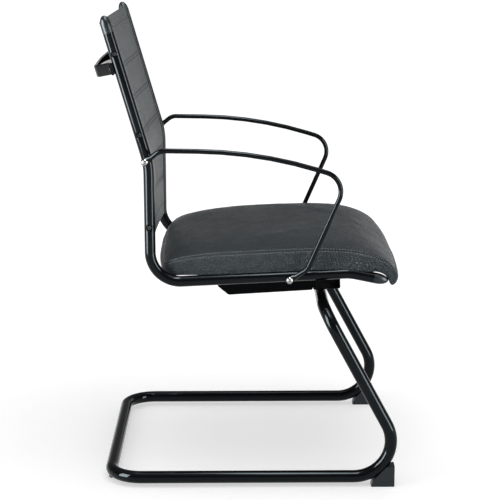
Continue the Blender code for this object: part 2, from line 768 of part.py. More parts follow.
def make_seat_bolts(frame):
    """Four bolts up through bars and spacers into the board."""
    head = SEAT_BOLT_HEAD_DIAMETER / 2
    shank = SEAT_BOLT_DIAMETER / 2
    seat = bar_bottom() - CONTACT_GAP
    low = seat - SEAT_BOLT_HEAD_HEIGHT
    top = SEAT_LIFT + SEAT_BOLT_BITE
    profile = [(0.0, top), (shank, top), (shank, seat), (head, seat),
               (head, low + STEM_CHAMFER), (head - STEM_CHAMFER, low), (0.0, low)]
    for label, place in seat_bolt_places():
        bolt = turned(f"seat_bolt_{label}", profile, SMALL_STEPS)
        bolt.location = place
        bolt.parent = frame
        finish(bolt, chrome(f"seat_bolt_{label}_zinc"))


def make_seat_spacers(frame):
    """Rubber washers that hold the board clear of the rails."""
    low = -bar_bottom() + CONTACT_GAP
    high = SEAT_LIFT - CONTACT_GAP
    outer = SPACER_DIAMETER / 2
    inner = SEAT_BOLT_DIAMETER / 2 + CONTACT_GAP
    profile = [(inner, high), (outer, high), (outer, low), (inner, low), (inner, high)]
    for label, place in seat_bolt_places():
        spacer = turned(f"seat_spacer_{label}", profile, SMALL_STEPS)
        spacer.location = place
        spacer.parent = frame
        finish(spacer, black_plastic(f"seat_spacer_{label}_rubber"))


def board_outline(grow):
    """A rounded rectangle for the board, or for the recess that takes it."""
    rear = BOARD_REAR_X - grow
    front = BOARD_FRONT_X + grow
    half = BOARD_HALF_WIDTH + grow
    corners = [Vector((rear, -half, 0.0)), Vector((front, -half, 0.0)),
               Vector((front, half, 0.0)), Vector((rear, half, 0.0))]
    radius = BOARD_CORNER_RADIUS + grow
    path = rounded_path(corners, [radius] * len(corners), closed=True, step=BOARD_ARC_STEP)
    return [(point.x, point.y) for point in path]


def slab(name, outline, low, high, parent, collection=None):
    """A flat outline extruded between two heights of the seat frame."""
    node = extruded(name, outline, (high - low) / 2, parent, collection)
    node.location = (0.0, 0.0, (high + low) / 2)
    return node


def make_seat_board(frame):
    node = slab("seat_board", board_outline(0.0), SEAT_LIFT, SEAT_LIFT + BOARD_THICKNESS, frame)
    up = Vector((0.0, 0.0, 1.0))
    hole = SEAT_BOLT_DIAMETER / 2 + CONTACT_GAP
    for label, place in seat_bolt_places():
        start = place + Vector((0.0, 0.0, SEAT_LIFT))
        reach = SEAT_BOLT_BITE + CONTACT_GAP
        cut(node, round_cutter(f"board_hole_{label}", hole, start, up, reach, frame))
    return finish(node, principled("seat_board_ply", (0.42, 0.30, 0.18), 0.6, 0.0))


def corner_pull(i, share):
    """How far a row is drawn in towards the middle of the seat at its corners."""
    rear = max(0.0, 1.0 - i / 2) * REAR_CORNER_PULL * abs(share) ** REAR_CORNER_POWER
    front = i == len(ROW_X_SHARES) - 1
    return rear - front * FRONT_CORNER_PULL * abs(share) ** FRONT_CORNER_POWER


def cushion_row(i, share):
    """Top and bottom points of the cushion at one row and one share of its width."""
    length = CUSHION_FRONT_X - CUSHION_REAR_X
    fall = abs(share) ** ROW_EDGE_POWERS[i]
    half = CUSHION_HALF_WIDTH * ROW_WIDTH_SHARES[i]
    pull = corner_pull(i, share)
    crest = CUSHION_CROWN * ROW_CREST_SHARES[i]
    seam = min(crest, CUSHION_SEAM * ROW_SEAM_SHARES[i])
    x_top = CUSHION_REAR_X + length * ROW_X_SHARES[i] + pull
    x_floor = CUSHION_REAR_X + length * FLOOR_X_SHARES[i] + pull
    z_floor = SEAT_LIFT * FLOOR_LIFT_SHARES[i] - CUSHION_TIP_DROP * FLOOR_DROP_SHARES[i]
    top = Vector((x_top, share * half, crest - (crest - seam) * fall))
    bottom = Vector((x_floor, share * (half - CUSHION_SIDE_SWELL), z_floor))
    return top, bottom


def cushion_rim(i, j, upper, lower):
    """The outermost point between a top and a bottom point on the cushion's edge."""
    share = COLUMN_SHARES[j]
    point = (upper + lower) / 2
    if abs(share) == 1.0:
        point.y += math.copysign(CUSHION_SIDE_SWELL, share)
    if i == 0:
        point.x = CUSHION_REAR_X - CUSHION_END_SWELL + corner_pull(i, share)
    if i == len(ROW_X_SHARES) - 1:
        point.x = CUSHION_FRONT_X + CUSHION_END_SWELL + corner_pull(i, share)
    return point


def make_seat_cushion(frame):
    """Crowned cushion with drawn-in sides and a rolled front, from a coarse cage."""
    shape = bmesh.new()
    rows = len(ROW_X_SHARES)
    columns = len(COLUMN_SHARES)
    grid = [[cushion_row(i, share) for share in COLUMN_SHARES] for i in range(rows)]
    top = [[shape.verts.new(cell[0]) for cell in row] for row in grid]
    bottom = [[shape.verts.new(cell[1]) for cell in row] for row in grid]
    for i in range(rows - 1):
        for j in range(columns - 1):
            cell = ((i, j), (i + 1, j), (i + 1, j + 1), (i, j + 1))
            shape.faces.new([top[m][n] for m, n in cell])
            shape.faces.new([bottom[m][n] for m, n in reversed(cell)])
    rim = [(i, 0) for i in range(rows)] + [(rows - 1, j) for j in range(1, columns)]
    rim += [(i, columns - 1) for i in range(rows - 2, -1, -1)]
    rim += [(0, j) for j in range(columns - 2, 0, -1)]
    middle = [shape.verts.new(cushion_rim(i, j, *grid[i][j])) for i, j in rim]
    for k, (i, j) in enumerate(rim):
        after = (k + 1) % len(rim)
        m, n = rim[after]
        shape.faces.new((top[i][j], middle[k], middle[after], top[m][n]))
        shape.faces.new((middle[k], bottom[i][j], bottom[m][n], middle[after]))
    bmesh.ops.recalc_face_normals(shape, faces=shape.faces)
    mesh = bpy.data.meshes.new("seat_cushion")
    shape.to_mesh(mesh)
    shape.free()
    node = link(bpy.data.objects.new("seat_cushion", mesh))
    node.parent = frame
    smooth = node.modifiers.new("smooth", "SUBSURF")
    smooth.levels = 1
    smooth.render_levels = 1
    recess = slab("board_recess", board_outline(CUSHION_RECESS_GAP), SEAT_LIFT - OVERRUN,
                  SEAT_LIFT + BOARD_THICKNESS + CUSHION_RECESS_GAP, frame, CUTTERS)
    cut(node, as_cutter(recess))
    return finish(node, leather("seat_cushion_leather"))


def panel_stations():
    """Heights of the panel's cross sections, closer together at seams and at the kink."""
    heights = [PANEL_BOTTOM, STILE_LOW, PANEL_BOTTOM + BOTTOM_HEM_HEIGHT,
               PANEL_TOP - TOP_HEM_HEIGHT, STILE_HIGH, PANEL_TOP]
    for k in range(SEAM_COUNT):
        middle = FIRST_SEAM_HEIGHT - k * SEAM_SPACING
        heights += [middle - SEAM_HALF_WIDTH, middle, middle + SEAM_HALF_WIDTH]
        heights.append(middle + SEAM_SPACING / 2)
    heights.append(FIRST_SEAM_HEIGHT - SEAM_COUNT * SEAM_SPACING + SEAM_SPACING / 2)
    return sorted(heights)


def seam_dent(height):
    for k in range(SEAM_COUNT):
        if abs(height - (FIRST_SEAM_HEIGHT - k * SEAM_SPACING)) < SEAM_HALF_WIDTH / 2:
            return SEAM_DEPTH
    return 0.0


def post_frame(height):
    """Centre of the real, rounded post at a height, with its tangent and forward direction."""
    points = side_path()
    tangents = path_frames(points)
    for i in range(len(points) - 1):
        upper, lower = points[i], points[i + 1]
        if lower.z <= height <= upper.z:
            share = (upper.z - height) / (upper.z - lower.z)
            tangent = tangents[i].lerp(tangents[i + 1], share).normalized()
            return upper.lerp(lower, share), Vector((-tangent.z, 0.0, tangent.x))
    return post_axis(height), LEAN_FORWARD


def between(height, bottom, top):
    """A size that changes evenly from the panel's bottom edge to its top edge."""
    share = (height - PANEL_BOTTOM) / (PANEL_TOP - PANEL_BOTTOM)
    return bottom + (top - bottom) * share


def panel_section(height):
    """Closed ring of the panel at one height: sheet in the middle, a channel over each stile."""
    centre, forward = post_frame(height)
    inner = STILE_Y - HEM_DEPTH
    slot = STILE_Y - STILE_THICKNESS - CONTACT_GAP
    dent = seam_dent(height)
    up = Vector((-forward.z, 0.0, forward.x))
    sag = between(height, PANEL_SAG_BOTTOM, PANEL_SAG_TOP)
    dip = between(height, PANEL_DIP_BOTTOM, PANEL_DIP_TOP)
    front, rear = [], []
    for share in PANEL_COLUMN_SHARES:
        slack = 1.0 - share ** 2
        inset = 0.0 if abs(share) == 1.0 else dent
        depth = PANEL_FRONT_OFFSET - sag * slack
        front.append(Vector((depth - inset, share * inner, -dip * slack)))
        rear.append(Vector((depth - PANEL_THICKNESS + inset, share * inner, -dip * slack)))
    hem = [(HEM_HALF_WIDTH, inner), (HEM_HALF_WIDTH, STILE_Y), (HEM_FLANGE, STILE_Y),
           (HEM_FLANGE, slot), (-HEM_FLANGE, slot), (-HEM_FLANGE, STILE_Y),
           (-HEM_HALF_WIDTH, STILE_Y), (-HEM_HALF_WIDTH, inner)]
    left = [Vector((depth, y, 0.0)) for depth, y in hem]
    right = [Vector((depth, -y, 0.0)) for depth, y in hem[::-1]]
    ring = front + left + rear[::-1] + right
    return [centre + forward * p.x + Vector((0.0, p.y, 0.0)) + up * p.z for p in ring]


def make_back_panel():
    """The slung leather: a sagging sheet with stitched channels, hemmed over both stiles."""
    node = loft("back_panel", [panel_section(height) for height in panel_stations()])
    return finish(node, leather("back_panel_leather"))


def make_back_stile(side):
    """The flat bar in the panel's hem that takes the screws."""
    name = side_name("back_stile", side)
    inner = STILE_Y - STILE_THICKNESS
    heights = [height for height in panel_stations() if STILE_LOW <= height <= STILE_HIGH]
    sections = []
    for height in heights:
        centre, forward = post_frame(height)
        ring = [(inner, STILE_HALF_WIDTH), (STILE_Y, STILE_HALF_WIDTH),
                (STILE_Y, -STILE_HALF_WIDTH), (inner, -STILE_HALF_WIDTH)]
        sections.append([centre + forward * a + Vector((0.0, side * y, 0.0)) for y, a in ring])
    node = loft(name, sections)
    outward = Vector((0.0, side, 0.0))
    hole = BACK_SCREW_DIAMETER / 2 + CONTACT_GAP
    for k, height in BACK_SCREW_HEIGHTS.items():
        start = post_axis(height) + outward * STILE_Y
        reach = STILE_THICKNESS + CONTACT_GAP / 2
        cut(node, round_cutter(f"{name}_hole_{k}", hole, start, -outward, reach))
    return finish(node, satin_steel(name + "_paint"))


def make_back_screws():
    """Six screws from the outside of the posts into the stiles."""
    head = BACK_SCREW_HEAD_DIAMETER / 2
    shank = BACK_SCREW_DIAMETER / 2
    reach = TUBE_DIAMETER + STILE_THICKNESS
    seat = -DIMPLE_DEPTH + CONTACT_GAP
    top = seat + BACK_SCREW_HEAD_HEIGHT
    profile = [(0.0, top), (head - STEM_CHAMFER, top), (head, top - STEM_CHAMFER / 2),
               (head, seat), (shank, seat), (shank, -reach), (0.0, -reach)]
    for side in (-1, 1):
        outward = Vector((0.0, side, 0.0))
        for label, height in BACK_SCREW_HEIGHTS.items():
            name = side_name(f"back_screw_{label}", side)
            place = post_axis(height) + outward * (SIDE_Y + TUBE_RADIUS)
            screw = aim(turned(name, profile, SMALL_STEPS), place, outward)
            finish(screw, satin_steel(name + "_steel"))


def brace_path():
    tab = TUBE_RADIUS + CONTACT_GAP + BRACE_THICKNESS / 2
    plan = [(tab, SIDE_Y + BRACE_TAB_OVERHANG), (tab, SIDE_Y - BRACE_TAB_INSET),
            (BRACE_STAND_OFF, BRACE_SHOULDER_Y), (BRACE_STAND_OFF + BRACE_BOW, 0.0)]
    half = [Vector((depth, y, 0.0)) for depth, y in plan]
    corners = half + [Vector((p.x, -p.y, 0.0)) for p in half[-2::-1]]
    radii = [0.0, BRACE_TAB_RADIUS, BRACE_SHOULDER_RADIUS, BRACE_BOW_RADIUS,
             BRACE_SHOULDER_RADIUS, BRACE_TAB_RADIUS, 0.0]
    return rounded_path(corners, radii, step=ARM_ARC_STEP)


def brace_ring():
    """Half widths of the bar's section, flat sides with full-round edges."""
    radius = BRACE_THICKNESS / 2
    straight = BRACE_WIDTH / 2 - radius
    ring = []
    for end in (1, -1):
        for k in range(BRACE_EDGE_STEPS + 1):
            angle = math.pi * k / BRACE_EDGE_STEPS
            across = radius * math.cos(angle)
            up = straight + radius * math.sin(angle)
            ring.append((end * across, end * up))
    return ring


def make_back_brace():
    """The bowed flat bar behind the back, screwed to the rear of both posts."""
    path = brace_path()
    sections = []
    for i, point in enumerate(path):
        before = path[max(0, i - 1)]
        after = path[min(len(path) - 1, i + 1)]
        along = (after - before).normalized()
        normal = Vector((-along.y, along.x, 0.0))
        section = []
        for across, up in brace_ring():
            flat = point + normal * across
            section.append(brace_plane_point(flat.x, flat.y) + LEAN_AXIS * up)
        sections.append(section)
    node = loft("back_brace", sections)
    hole = BRACE_SCREW_DIAMETER / 2 + CONTACT_GAP
    for side in (-1, 1):
        start = brace_plane_point(TUBE_RADIUS, side * SIDE_Y)
        tool = round_cutter(side_name("brace_tab_hole", side), hole, start, -LEAN_FORWARD,
                            BRACE_THICKNESS + OVERRUN)
        cut(node, tool)
    return finish(node, gloss_paint("back_brace_paint"))


def make_brace_screws():
    """Two screws from behind, through the brace's tabs into the posts."""
    head = BRACE_SCREW_HEAD_DIAMETER / 2
    shank = BRACE_SCREW_DIAMETER / 2
    seat = CONTACT_GAP * 2 + BRACE_THICKNESS
    profile = (dome(head, BRACE_SCREW_HEAD_HEIGHT, seat)
               + [(shank, seat), (shank, -BRACE_SCREW_BITE), (0.0, -BRACE_SCREW_BITE)])
    for side in (-1, 1):
        name = side_name("brace_screw", side)
        place = brace_plane_point(TUBE_RADIUS, side * SIDE_Y)
        screw = aim(turned(name, profile, SMALL_STEPS), place, -LEAN_FORWARD)
        finish(screw, satin_steel(name + "_steel"))


def arm_corners(side):
    """Corners of one arm rod, from the rear eye over the top to the front eye."""
    rear = rear_bolt_place(side)
    front = front_bolt_place(side)
    rear.y = side * ARM_EYE_Y
    front.y = side * ARM_EYE_Y
    y = side * ARM_ROD_Y
    return [rear,
            Vector((ARM_REAR_SHOULDER_X, y, ARM_TOP_HEIGHT)),
            Vector((ARM_CREST_X, y, ARM_CREST_HEIGHT)),
            Vector((ARM_NOSE_X, y, ARM_NOSE_HEIGHT)),
            Vector((ARM_HEEL_X, y, ARM_HEEL_HEIGHT)),
            front]


def eye_lug(name, eye, toward):
    """A flattened end: a round eye that tapers into the rod."""
    along = Vector((toward.x - eye.x, toward.z - eye.z)).normalized()
    across = Vector((-along.y, along.x))
    centre = Vector((eye.x, eye.z))
    radius = ARM_EYE_DIAMETER / 2
    outline = []
    for k in range(SMALL_STEPS // 2 + 1):
        angle = math.pi * k / (SMALL_STEPS // 2)
        outline.append(centre + across * radius * math.cos(angle) - along * radius * math.sin(angle))
    neck = centre + along * ARM_NECK_LENGTH
    outline.append(neck - across * ARM_NECK_HALF_HEIGHT)
    outline.append(neck + across * ARM_NECK_HALF_HEIGHT)
    node = extruded(name, outline, ARM_EYE_THICKNESS / 2, None, CUTTERS)
    return as_cutter(stand(node, eye.y))


def make_armrest(side):
    """One bent rod with a flattened, drilled eye at each end."""
    name = side_name("armrest", side)
    corners = arm_corners(side)
    rear_eye, front_eye = corners[0].copy(), corners[-1].copy()
    rear_dir = (corners[1] - corners[0]).normalized()
    front_dir = (corners[-2] - corners[-1]).normalized()
    corners[0] = corners[0] + rear_dir * ARM_ROD_START
    corners[-1] = corners[-1] + front_dir * ARM_ROD_START
    radii = (0.0, ARM_SHOULDER_RADIUS, ARM_CREST_RADIUS, ARM_NOSE_RADIUS, ARM_HEEL_RADIUS, 0.0)
    points = rounded_path(corners, radii, step=ARM_ARC_STEP)
    node = bent_tube(name, points, ARM_ROD_DIAMETER / 2, ROD_BEVEL_RESOLUTION)
    hole = ARM_BOLT_DIAMETER / 2 + CONTACT_GAP
    outward = Vector((0.0, side, 0.0))
    reach = ARM_EYE_THICKNESS + OVERRUN
    for label, eye, toward in (("rear", rear_eye, corners[1]), ("front", front_eye, corners[-2])):
        cut(node, eye_lug(f"{name}_{label}_lug", eye, toward), "UNION")
        start = eye + outward * ARM_EYE_THICKNESS / 2
        cut(node, round_cutter(f"{name}_{label}_hole", hole, start, -outward, reach))
    return finish(node, gloss_paint(name + "_paint"))


def arm_bolt_places():
    """Name, side and place of the four arm fixings."""
    return [(side_name(label, side), side, place) for side in (-1, 1)
            for label, place in (("rear", rear_bolt_place(side)), ("front", front_bolt_place(side)))]


def make_arm_bolts():
    """Four socket-head bolts through the eyes and washers into the side frames."""
    head = ARM_BOLT_HEAD_DIAMETER / 2
    shank = ARM_BOLT_DIAMETER / 2
    socket = ARM_BOLT_SOCKET / 2
    seat = (ARM_EYE_Y + ARM_EYE_THICKNESS / 2 + CONTACT_GAP) - SIDE_Y
    floor = seat + ARM_BOLT_HEAD_HEIGHT - ARM_BOLT_SOCKET_DEPTH
    low = TUBE_RADIUS - ARM_BOLT_REACH
    crown = [point for point in dome(head, ARM_BOLT_HEAD_HEIGHT, seat) if point[0] > socket]
    profile = ([(0.0, floor), (socket, floor), (socket, crown[0][1])] + crown
               + [(shank, seat), (shank, low), (0.0, low)])
    for label, side, place in arm_bolt_places():
        outward = Vector((0.0, side, 0.0))
        bolt = aim(turned(f"arm_bolt_{label}", profile, TURNED_STEPS), place, outward)
        finish(bolt, chrome(f"arm_bolt_{label}_chrome"))


def make_arm_washers():
    """Four washers between the eyes and the side frames."""
    high = ARM_EYE_Y - ARM_EYE_THICKNESS / 2 - CONTACT_GAP - SIDE_Y
    low = high - ARM_WASHER_THICKNESS
    outer = ARM_WASHER_DIAMETER / 2
    inner = ARM_BOLT_DIAMETER / 2 + CONTACT_GAP
    profile = [(inner, high), (outer, high), (outer, low), (inner, low), (inner, high)]
    for label, side, place in arm_bolt_places():
        outward = Vector((0.0, side, 0.0))
        washer = aim(turned(f"arm_washer_{label}", profile, SMALL_STEPS), place, outward)
        finish(washer, chrome(f"arm_washer_{label}_steel"))


def build_chair():
    frame = make_seat_frame()
    base_tool = make_base_tool()
    make_base_frame()
    for side in (-1, 1):
        make_front_foot(side, base_tool)
        make_rear_glide(side, base_tool)
        make_side_frame(side)
        make_post_cap(side)
        make_rail_plug(side)
        make_back_stile(side)
        make_armrest(side)
    make_cross_channel(frame)
    make_mount_tray(frame)
    for label, x in bar_stations():
        make_cross_bar(frame, label, x)
    make_seat_bolts(frame)
    make_seat_spacers(frame)
    make_seat_board(frame)
    make_seat_cushion(frame)
    make_back_panel()
    make_back_screws()
    make_back_brace()
    make_brace_screws()
    make_arm_bolts()
    make_arm_washers()


build_chair()
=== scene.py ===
"""Looks for the guest chair: smooth tubes, leather seat and back, fixings, light and camera."""
import math

import bmesh
import bpy
from mathutils import Matrix, Vector, noise as wander
from mathutils.bvhtree import BVHTree
from mathutils.kdtree import KDTree


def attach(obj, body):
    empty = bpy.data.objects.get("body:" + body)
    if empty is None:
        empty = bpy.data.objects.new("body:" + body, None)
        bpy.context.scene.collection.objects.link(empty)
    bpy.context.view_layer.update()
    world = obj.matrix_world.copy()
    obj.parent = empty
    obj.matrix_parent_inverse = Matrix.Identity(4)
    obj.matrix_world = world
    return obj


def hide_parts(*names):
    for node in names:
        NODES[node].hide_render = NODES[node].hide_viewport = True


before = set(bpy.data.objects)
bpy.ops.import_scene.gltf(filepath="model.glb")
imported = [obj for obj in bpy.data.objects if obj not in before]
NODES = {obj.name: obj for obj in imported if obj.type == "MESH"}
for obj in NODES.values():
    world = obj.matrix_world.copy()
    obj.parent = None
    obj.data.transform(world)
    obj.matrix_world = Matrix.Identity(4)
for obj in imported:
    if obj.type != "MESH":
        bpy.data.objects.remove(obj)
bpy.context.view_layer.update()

# Camera, measured from the photograph
IMAGE_WIDTH = 500
FOCAL_PIXELS = 1543.1
SENSOR_WIDTH = 36.0
CAMERA_PLACE = Vector((-0.0095, -3.245, 1.145))
CAMERA_PITCH = math.radians(12.37)
CAMERA_YAW = math.radians(0.32)
CAMERA_ROLL = math.radians(-0.143)

# Floor, world and lamps: name, place, size, power, and whether matt surfaces are lit
FLOOR_SIZE = 40.0
FLOOR_COLOR = (0.62, 0.62, 0.62, 1.0)
FLOOR_ROUGHNESS = 0.9
FLOOR_SPECULAR = 0.1
FLOOR_GLOW = 0.485
SWEEP_START = 0.5
SWEEP_END = 2.4
SWEEP_GLOW = 0.78
WORLD_LIGHT = 0.50
SKY_STOPS = ((0.50, 0.50), (0.56, 0.42), (0.64, 0.18), (0.80, 0.15), (1.0, 0.50))
AIM_HEIGHT = 0.75
LAMPS = (
    ("overhead_softbox", Vector((0.20, -0.30, 2.70)), (1.6, 2.4), 34.0, True),
    ("overhead_strip", Vector((0.10, -0.55, 2.60)), (0.5, 1.6), 38.0, False),
    ("front_left_softbox", Vector((-1.87, -1.17, 0.85)), (1.0, 1.7), 150.0, False),
    ("front_right_softbox", Vector((1.83, -1.23, 0.85)), (0.8, 1.7), 72.0, False),
    ("side_softbox", Vector((-2.10, -1.60, 1.50)), (0.9, 1.4), 12.0, True),
    ("back_softbox", Vector((1.90, 2.60, 0.90)), (1.4, 1.6), 6.0, True),
)

# Side frame: post and rail in one tube
SIDE_Y = 0.235
TUBE_RADIUS = 0.011
POST_X = -0.192
KINK_HEIGHT = 0.659
POST_LEAN = math.radians(16.04)
POST_TUBE_TOP = 0.915
RAIL_HEIGHT = 0.4272
SEAT_TILT = math.radians(2.69)
RAIL_NOSE_X = 0.208
RAIL_NOSE_DROP = math.radians(11.7)
RAIL_END_X = 0.255
KINK_RADIUS = 0.160
POST_BEND_RADIUS = 0.060
NOSE_RADIUS = 0.090
CAP_LENGTH = 0.0358
CAP_DOME_LENGTH = 0.0200
PLUG_STRAIGHT = 0.006
PLUG_LENGTH = 0.030
SCREW_HEIGHTS = {"upper": 0.8759, "middle": 0.7171, "lower": 0.5321}
DIMPLE_RADIUS = 0.0075
DIMPLE_DEPTH = 0.0030

# Base loop
RUNNER_Y = 0.2686
BASE_RADIUS = 0.0127
RUNNER_HEIGHT = 0.0187
REAR_CROSS_X = -0.280
FRONT_CORNER_X = 0.3428
LEG_LEAN = math.radians(28.24)
REAR_CORNER_RADIUS = 0.065
FRONT_CORNER_RADIUS = 0.075
TOP_CORNER_RADIUS = 0.057
PAN_DEPTH = 0.0531
GLIDE_RADIUS = 0.0060
GLIDE_Y = 0.217
GLIDE_HEIGHT = 0.0062

# Arms
ROD_RADIUS = 0.005
ARM_Y = 0.2625
EYE_Y = 0.250
EYE_RADIUS = 0.0078
EYE_THICKNESS = 0.005
EYE_WIDENING = 0.3
NECK_LENGTH = 0.020
REAR_EYE_HEIGHT = 0.6652
REAR_EYE_SETBACK = 0.0052
FRONT_EYE_X = 0.0862
FRONT_EYE_DROP = 0.0050
ARM_CORNERS = ((-0.1675, 0.6895), (0.0255, 0.6862), (0.2006, 0.6319), (0.1210, 0.4505))
ARM_RADII = (0.026, 0.850, 0.040, 0.022)
BOLT_HEAD_RADIUS = 0.0069
BOLT_HEAD_HEIGHT = 0.0050
BOLT_SOCKET = 0.0025
BOLT_SOCKET_DEPTH = 0.0026
WASHER_RADIUS = 0.0070
WASHER_THICKNESS = 0.0009
SCREW_RADIUS = 0.0037
SCREW_HEIGHT = 0.0024
SCREW_SOCKET = 0.0012
BRACE_SCREW_RADIUS = 0.00425
BRACE_SCREW_HEIGHT = 0.0022
GAP = 0.0003
SHOULDER = 0.0006

# Brace behind the back
BRACE_HEIGHT = 0.8505
BRACE_WIDTH = 0.0245
BRACE_THICKNESS = 0.0060
BRACE_STAND_OFF = 0.0505
BRACE_BOW = 0.0060
BRACE_SHOULDER_Y = 0.182
BRACE_TAB_INSET = 0.014
BRACE_TAB_OVERHANG = 0.008
BRACE_TAB_RADIUS = 0.016
BRACE_SHOULDER_RADIUS = 0.028
BRACE_BOW_RADIUS = 1.500

# Slung back
PANEL_TOP = 0.9400
PANEL_BOTTOM = 0.4715
PANEL_THICKNESS = 0.0048
PANEL_FRONT_OFFSET = 0.0060
PANEL_SAG = (0.0097, 0.0330)
PANEL_DIP = (0.0036, 0.0075)
HEM_DEPTH = 0.0060
HEM_HALF_WIDTH = 0.0088
HEM_Y = 0.2237
SEAM_SPACING = 0.0695
FIRST_SEAM_HEIGHT = 0.8391
SEAM_COUNT = 5
TOP_HEM_HEIGHT = 0.0226
BOTTOM_HEM_HEIGHT = 0.0290
CHANNEL_HALF_WIDTH = 0.0031
CHANNEL_DEPTH = 0.0012
CHANNEL_SPREAD = 0.0016
CHANNEL_SWELL = 0.0007
CHANNEL_FULLNESS = 0.6
RELIEF_EASE = 0.05
HEM_SKIN = 0.0014
HEM_ROUND = 0.0013
STILE_THICKNESS = 0.0032
PANEL_END_ROUND = 0.0024
PANEL_COLUMNS = 18
PANEL_ROWS = 90
STITCHED_STATIONS = 8
STATION_CLEARANCE = 4.5 * CHANNEL_SPREAD
END_STATIONS = 5

# Seat cushion cage, in the tilted frame of the rails
CUSHION_HALF_WIDTH = 0.2455
CUSHION_REAR_X = -0.1815
CUSHION_FRONT_X = 0.3155
CUSHION_CROWN = 0.0732
CUSHION_SEAM = 0.0555
CUSHION_TIP_DROP = 0.0420
CUSHION_SIDE_SWELL = 0.0035
CUSHION_END_SWELL = 0.0025
SEAT_LIFT = 0.0160
ROW_X_SHARES = (0.014, 0.042, 0.103, 0.224, 0.405, 0.576, 0.717, 0.832, 0.908, 0.952, 0.984)
ROW_CREST_SHARES = (0.530, 0.670, 0.830, 0.968, 1.000, 0.993, 0.940, 0.805, 0.580, 0.330, 0.050)
ROW_SEAM_SHARES = (0.610, 0.740, 0.880, 0.980, 1.000, 1.000, 0.950, 0.830, 0.560, 0.300, 0.030)
ROW_WIDTH_SHARES = (0.888, 0.938, 0.962, 0.983, 0.996, 1.000, 1.000, 1.000, 0.997, 0.992, 0.985)
ROW_EDGE_POWERS = (6, 7, 8, 10, 12, 12, 12, 12, 11, 9, 8)
FLOOR_X_SHARES = (0.016, 0.052, 0.120, 0.250, 0.418, 0.575, 0.710, 0.810, 0.890, 0.935, 0.958)
FLOOR_LIFT_SHARES = (1.000, 1.000, 1.000, 1.000, 1.000, 1.000, 1.000, 0.900, 0.420, 0.020, 0.000)
FLOOR_DROP_SHARES = (0.000, 0.000, 0.000, 0.000, 0.000, 0.000, 0.000, 0.000, 0.000, 0.120, 0.960)
COLUMN_SHARES = (-1.0, -0.930, -0.750, -0.400, 0.0, 0.400, 0.750, 0.930, 1.0)
SKIRT_HEIGHTS = (0.0030, 0.0115, 0.0115, 0.0112, 0.0105)
REAR_CORNER_PULL = 0.010
FRONT_CORNER_PULL = 0.0075
CORNER_POWER = 4
LIP_START = 0.245
FLOOR_CREASE = 1.0
SEAM_CREASE = 0.35

# Cloth run that fills the cushion, and how far it may move a point
CUSHION_SHRINK = 0.0022
CUSHION_PRESSURE = 4.0
CUSHION_FRAMES = 20
CUSHION_CAP = 0.0060
CUSHION_STIFFNESS = 15.0
CUSHION_BENDING = 6.0
SOFTENING_PASSES = 3
HELD_WEIGHT = 0.9
ON_SEAM_WEIGHT = 0.9995

# Seams, stitches and the leather's own unevenness
SEAM_WIDTH = 0.0034
SEAM_DEPTH = 0.0022
REAR_SEAM = ((-0.1370, 0.0470), (-0.1375, 0.0300), (-0.1375, 0.0110))
STITCH_LENGTH = 0.0040
STITCH_PITCH = 0.0058
STITCH_RADIUS = 0.00065
STITCH_OFFSET = 0.0036
WAVE_SCALE = 9.0
WAVE_HEIGHT = 0.0012
WRINKLE_SCALE = 42.0
WRINKLE_HEIGHT = 0.0003
CREASE_POINTS = ((0.030, -0.170, 0.074), (0.100, -0.140, 0.074), (0.170, -0.100, 0.070),
                 (0.230, -0.050, 0.055), (0.255, 0.0, 0.045))
CREASE_WIDTH = 0.015
CREASE_HEIGHT = 0.0012

# Colours, and the shades of them that vary a surface
SEAT_COLOR = (0.0230, 0.0284, 0.0306)
# Painted light: the back is the seat's leather painted about twice as light, for the sheen it shows
# at a grazing view
BACK_LIT_COLOR = (0.0480, 0.0530, 0.0520)
RUBBED_COLOR = (0.045, 0.047, 0.050)
# Painted reflection colour: a cool tint on every reflection, standing in for the bluish light of the
# studio
PAINTED_REFLECTION_TINT = (0.78, 0.93, 1.0)
DUST_COLOR = (0.22, 0.21, 0.20)
FILM_SHADE = 0.82
MOTTLE_SHADE = 0.78
# Darkening of the leather's pore colour, which also paints shade into the sewn grooves
PORE_AND_SEAM_SHADE = 0.40
PORE_DARKENING = 0.7
VENEER_COLORS = ((0.33, 0.215, 0.12), (0.50, 0.36, 0.22), (0.20, 0.12, 0.065))
THREAD_COLORS = ((0.110, 0.113, 0.120), (0.260, 0.265, 0.280))
WHITE = (1.0, 1.0, 1.0, 1.0)

# Gloss that dust, pores and grooves take away, and the make-up of the leather's grain
DUST_DULLING = 0.35
PORE_DULLING = 0.15
GROOVE_DULLING = 0.35
SHEEN_ROUGHNESS = 0.4
PEBBLE_DRIFT = 0.012
PEBBLE_RATIO = 2.6
PEBBLE_POWER = 0.6
LARGE_SHARE = 0.75
SMALL_SHARE = 0.25
CREASE_SHARE = 0.6

# Facets of new pieces
TUBE_SIDES = 40
ROD_SIDES = 24
BEND_STEP = math.radians(4.0)
TURN_STEPS = 48
DOME_STEPS = 12
DIMPLE_SLICES = 7
NECK_SLICES = 10
HEM_STEPS = 8
SHARP_ANGLE = math.radians(35.0)
MERGE_DISTANCE = 0.00001

# Directions, most of them from the sizes above
UP = Vector((0.0, 0.0, 1.0))
LEAN_AXIS = Vector((-math.sin(POST_LEAN), 0.0, math.cos(POST_LEAN)))
LEAN_FORWARD = Vector((math.cos(POST_LEAN), 0.0, math.sin(POST_LEAN)))
SEAT_FRAME = (Matrix.Translation((0.0, 0.0, RAIL_HEIGHT))
              @ Matrix.Rotation(-SEAT_TILT, 4, "Y"))
SIDES = {"right": -1, "left": 1}


def post_axis(height):
    """The straight leaning post, or the upright part under its kink."""
    over = max(0.0, height - KINK_HEIGHT)
    return Vector((POST_X - over * math.tan(POST_LEAN), 0.0, height))


def sideways(y):
    return Vector((0.0, y, 0.0))


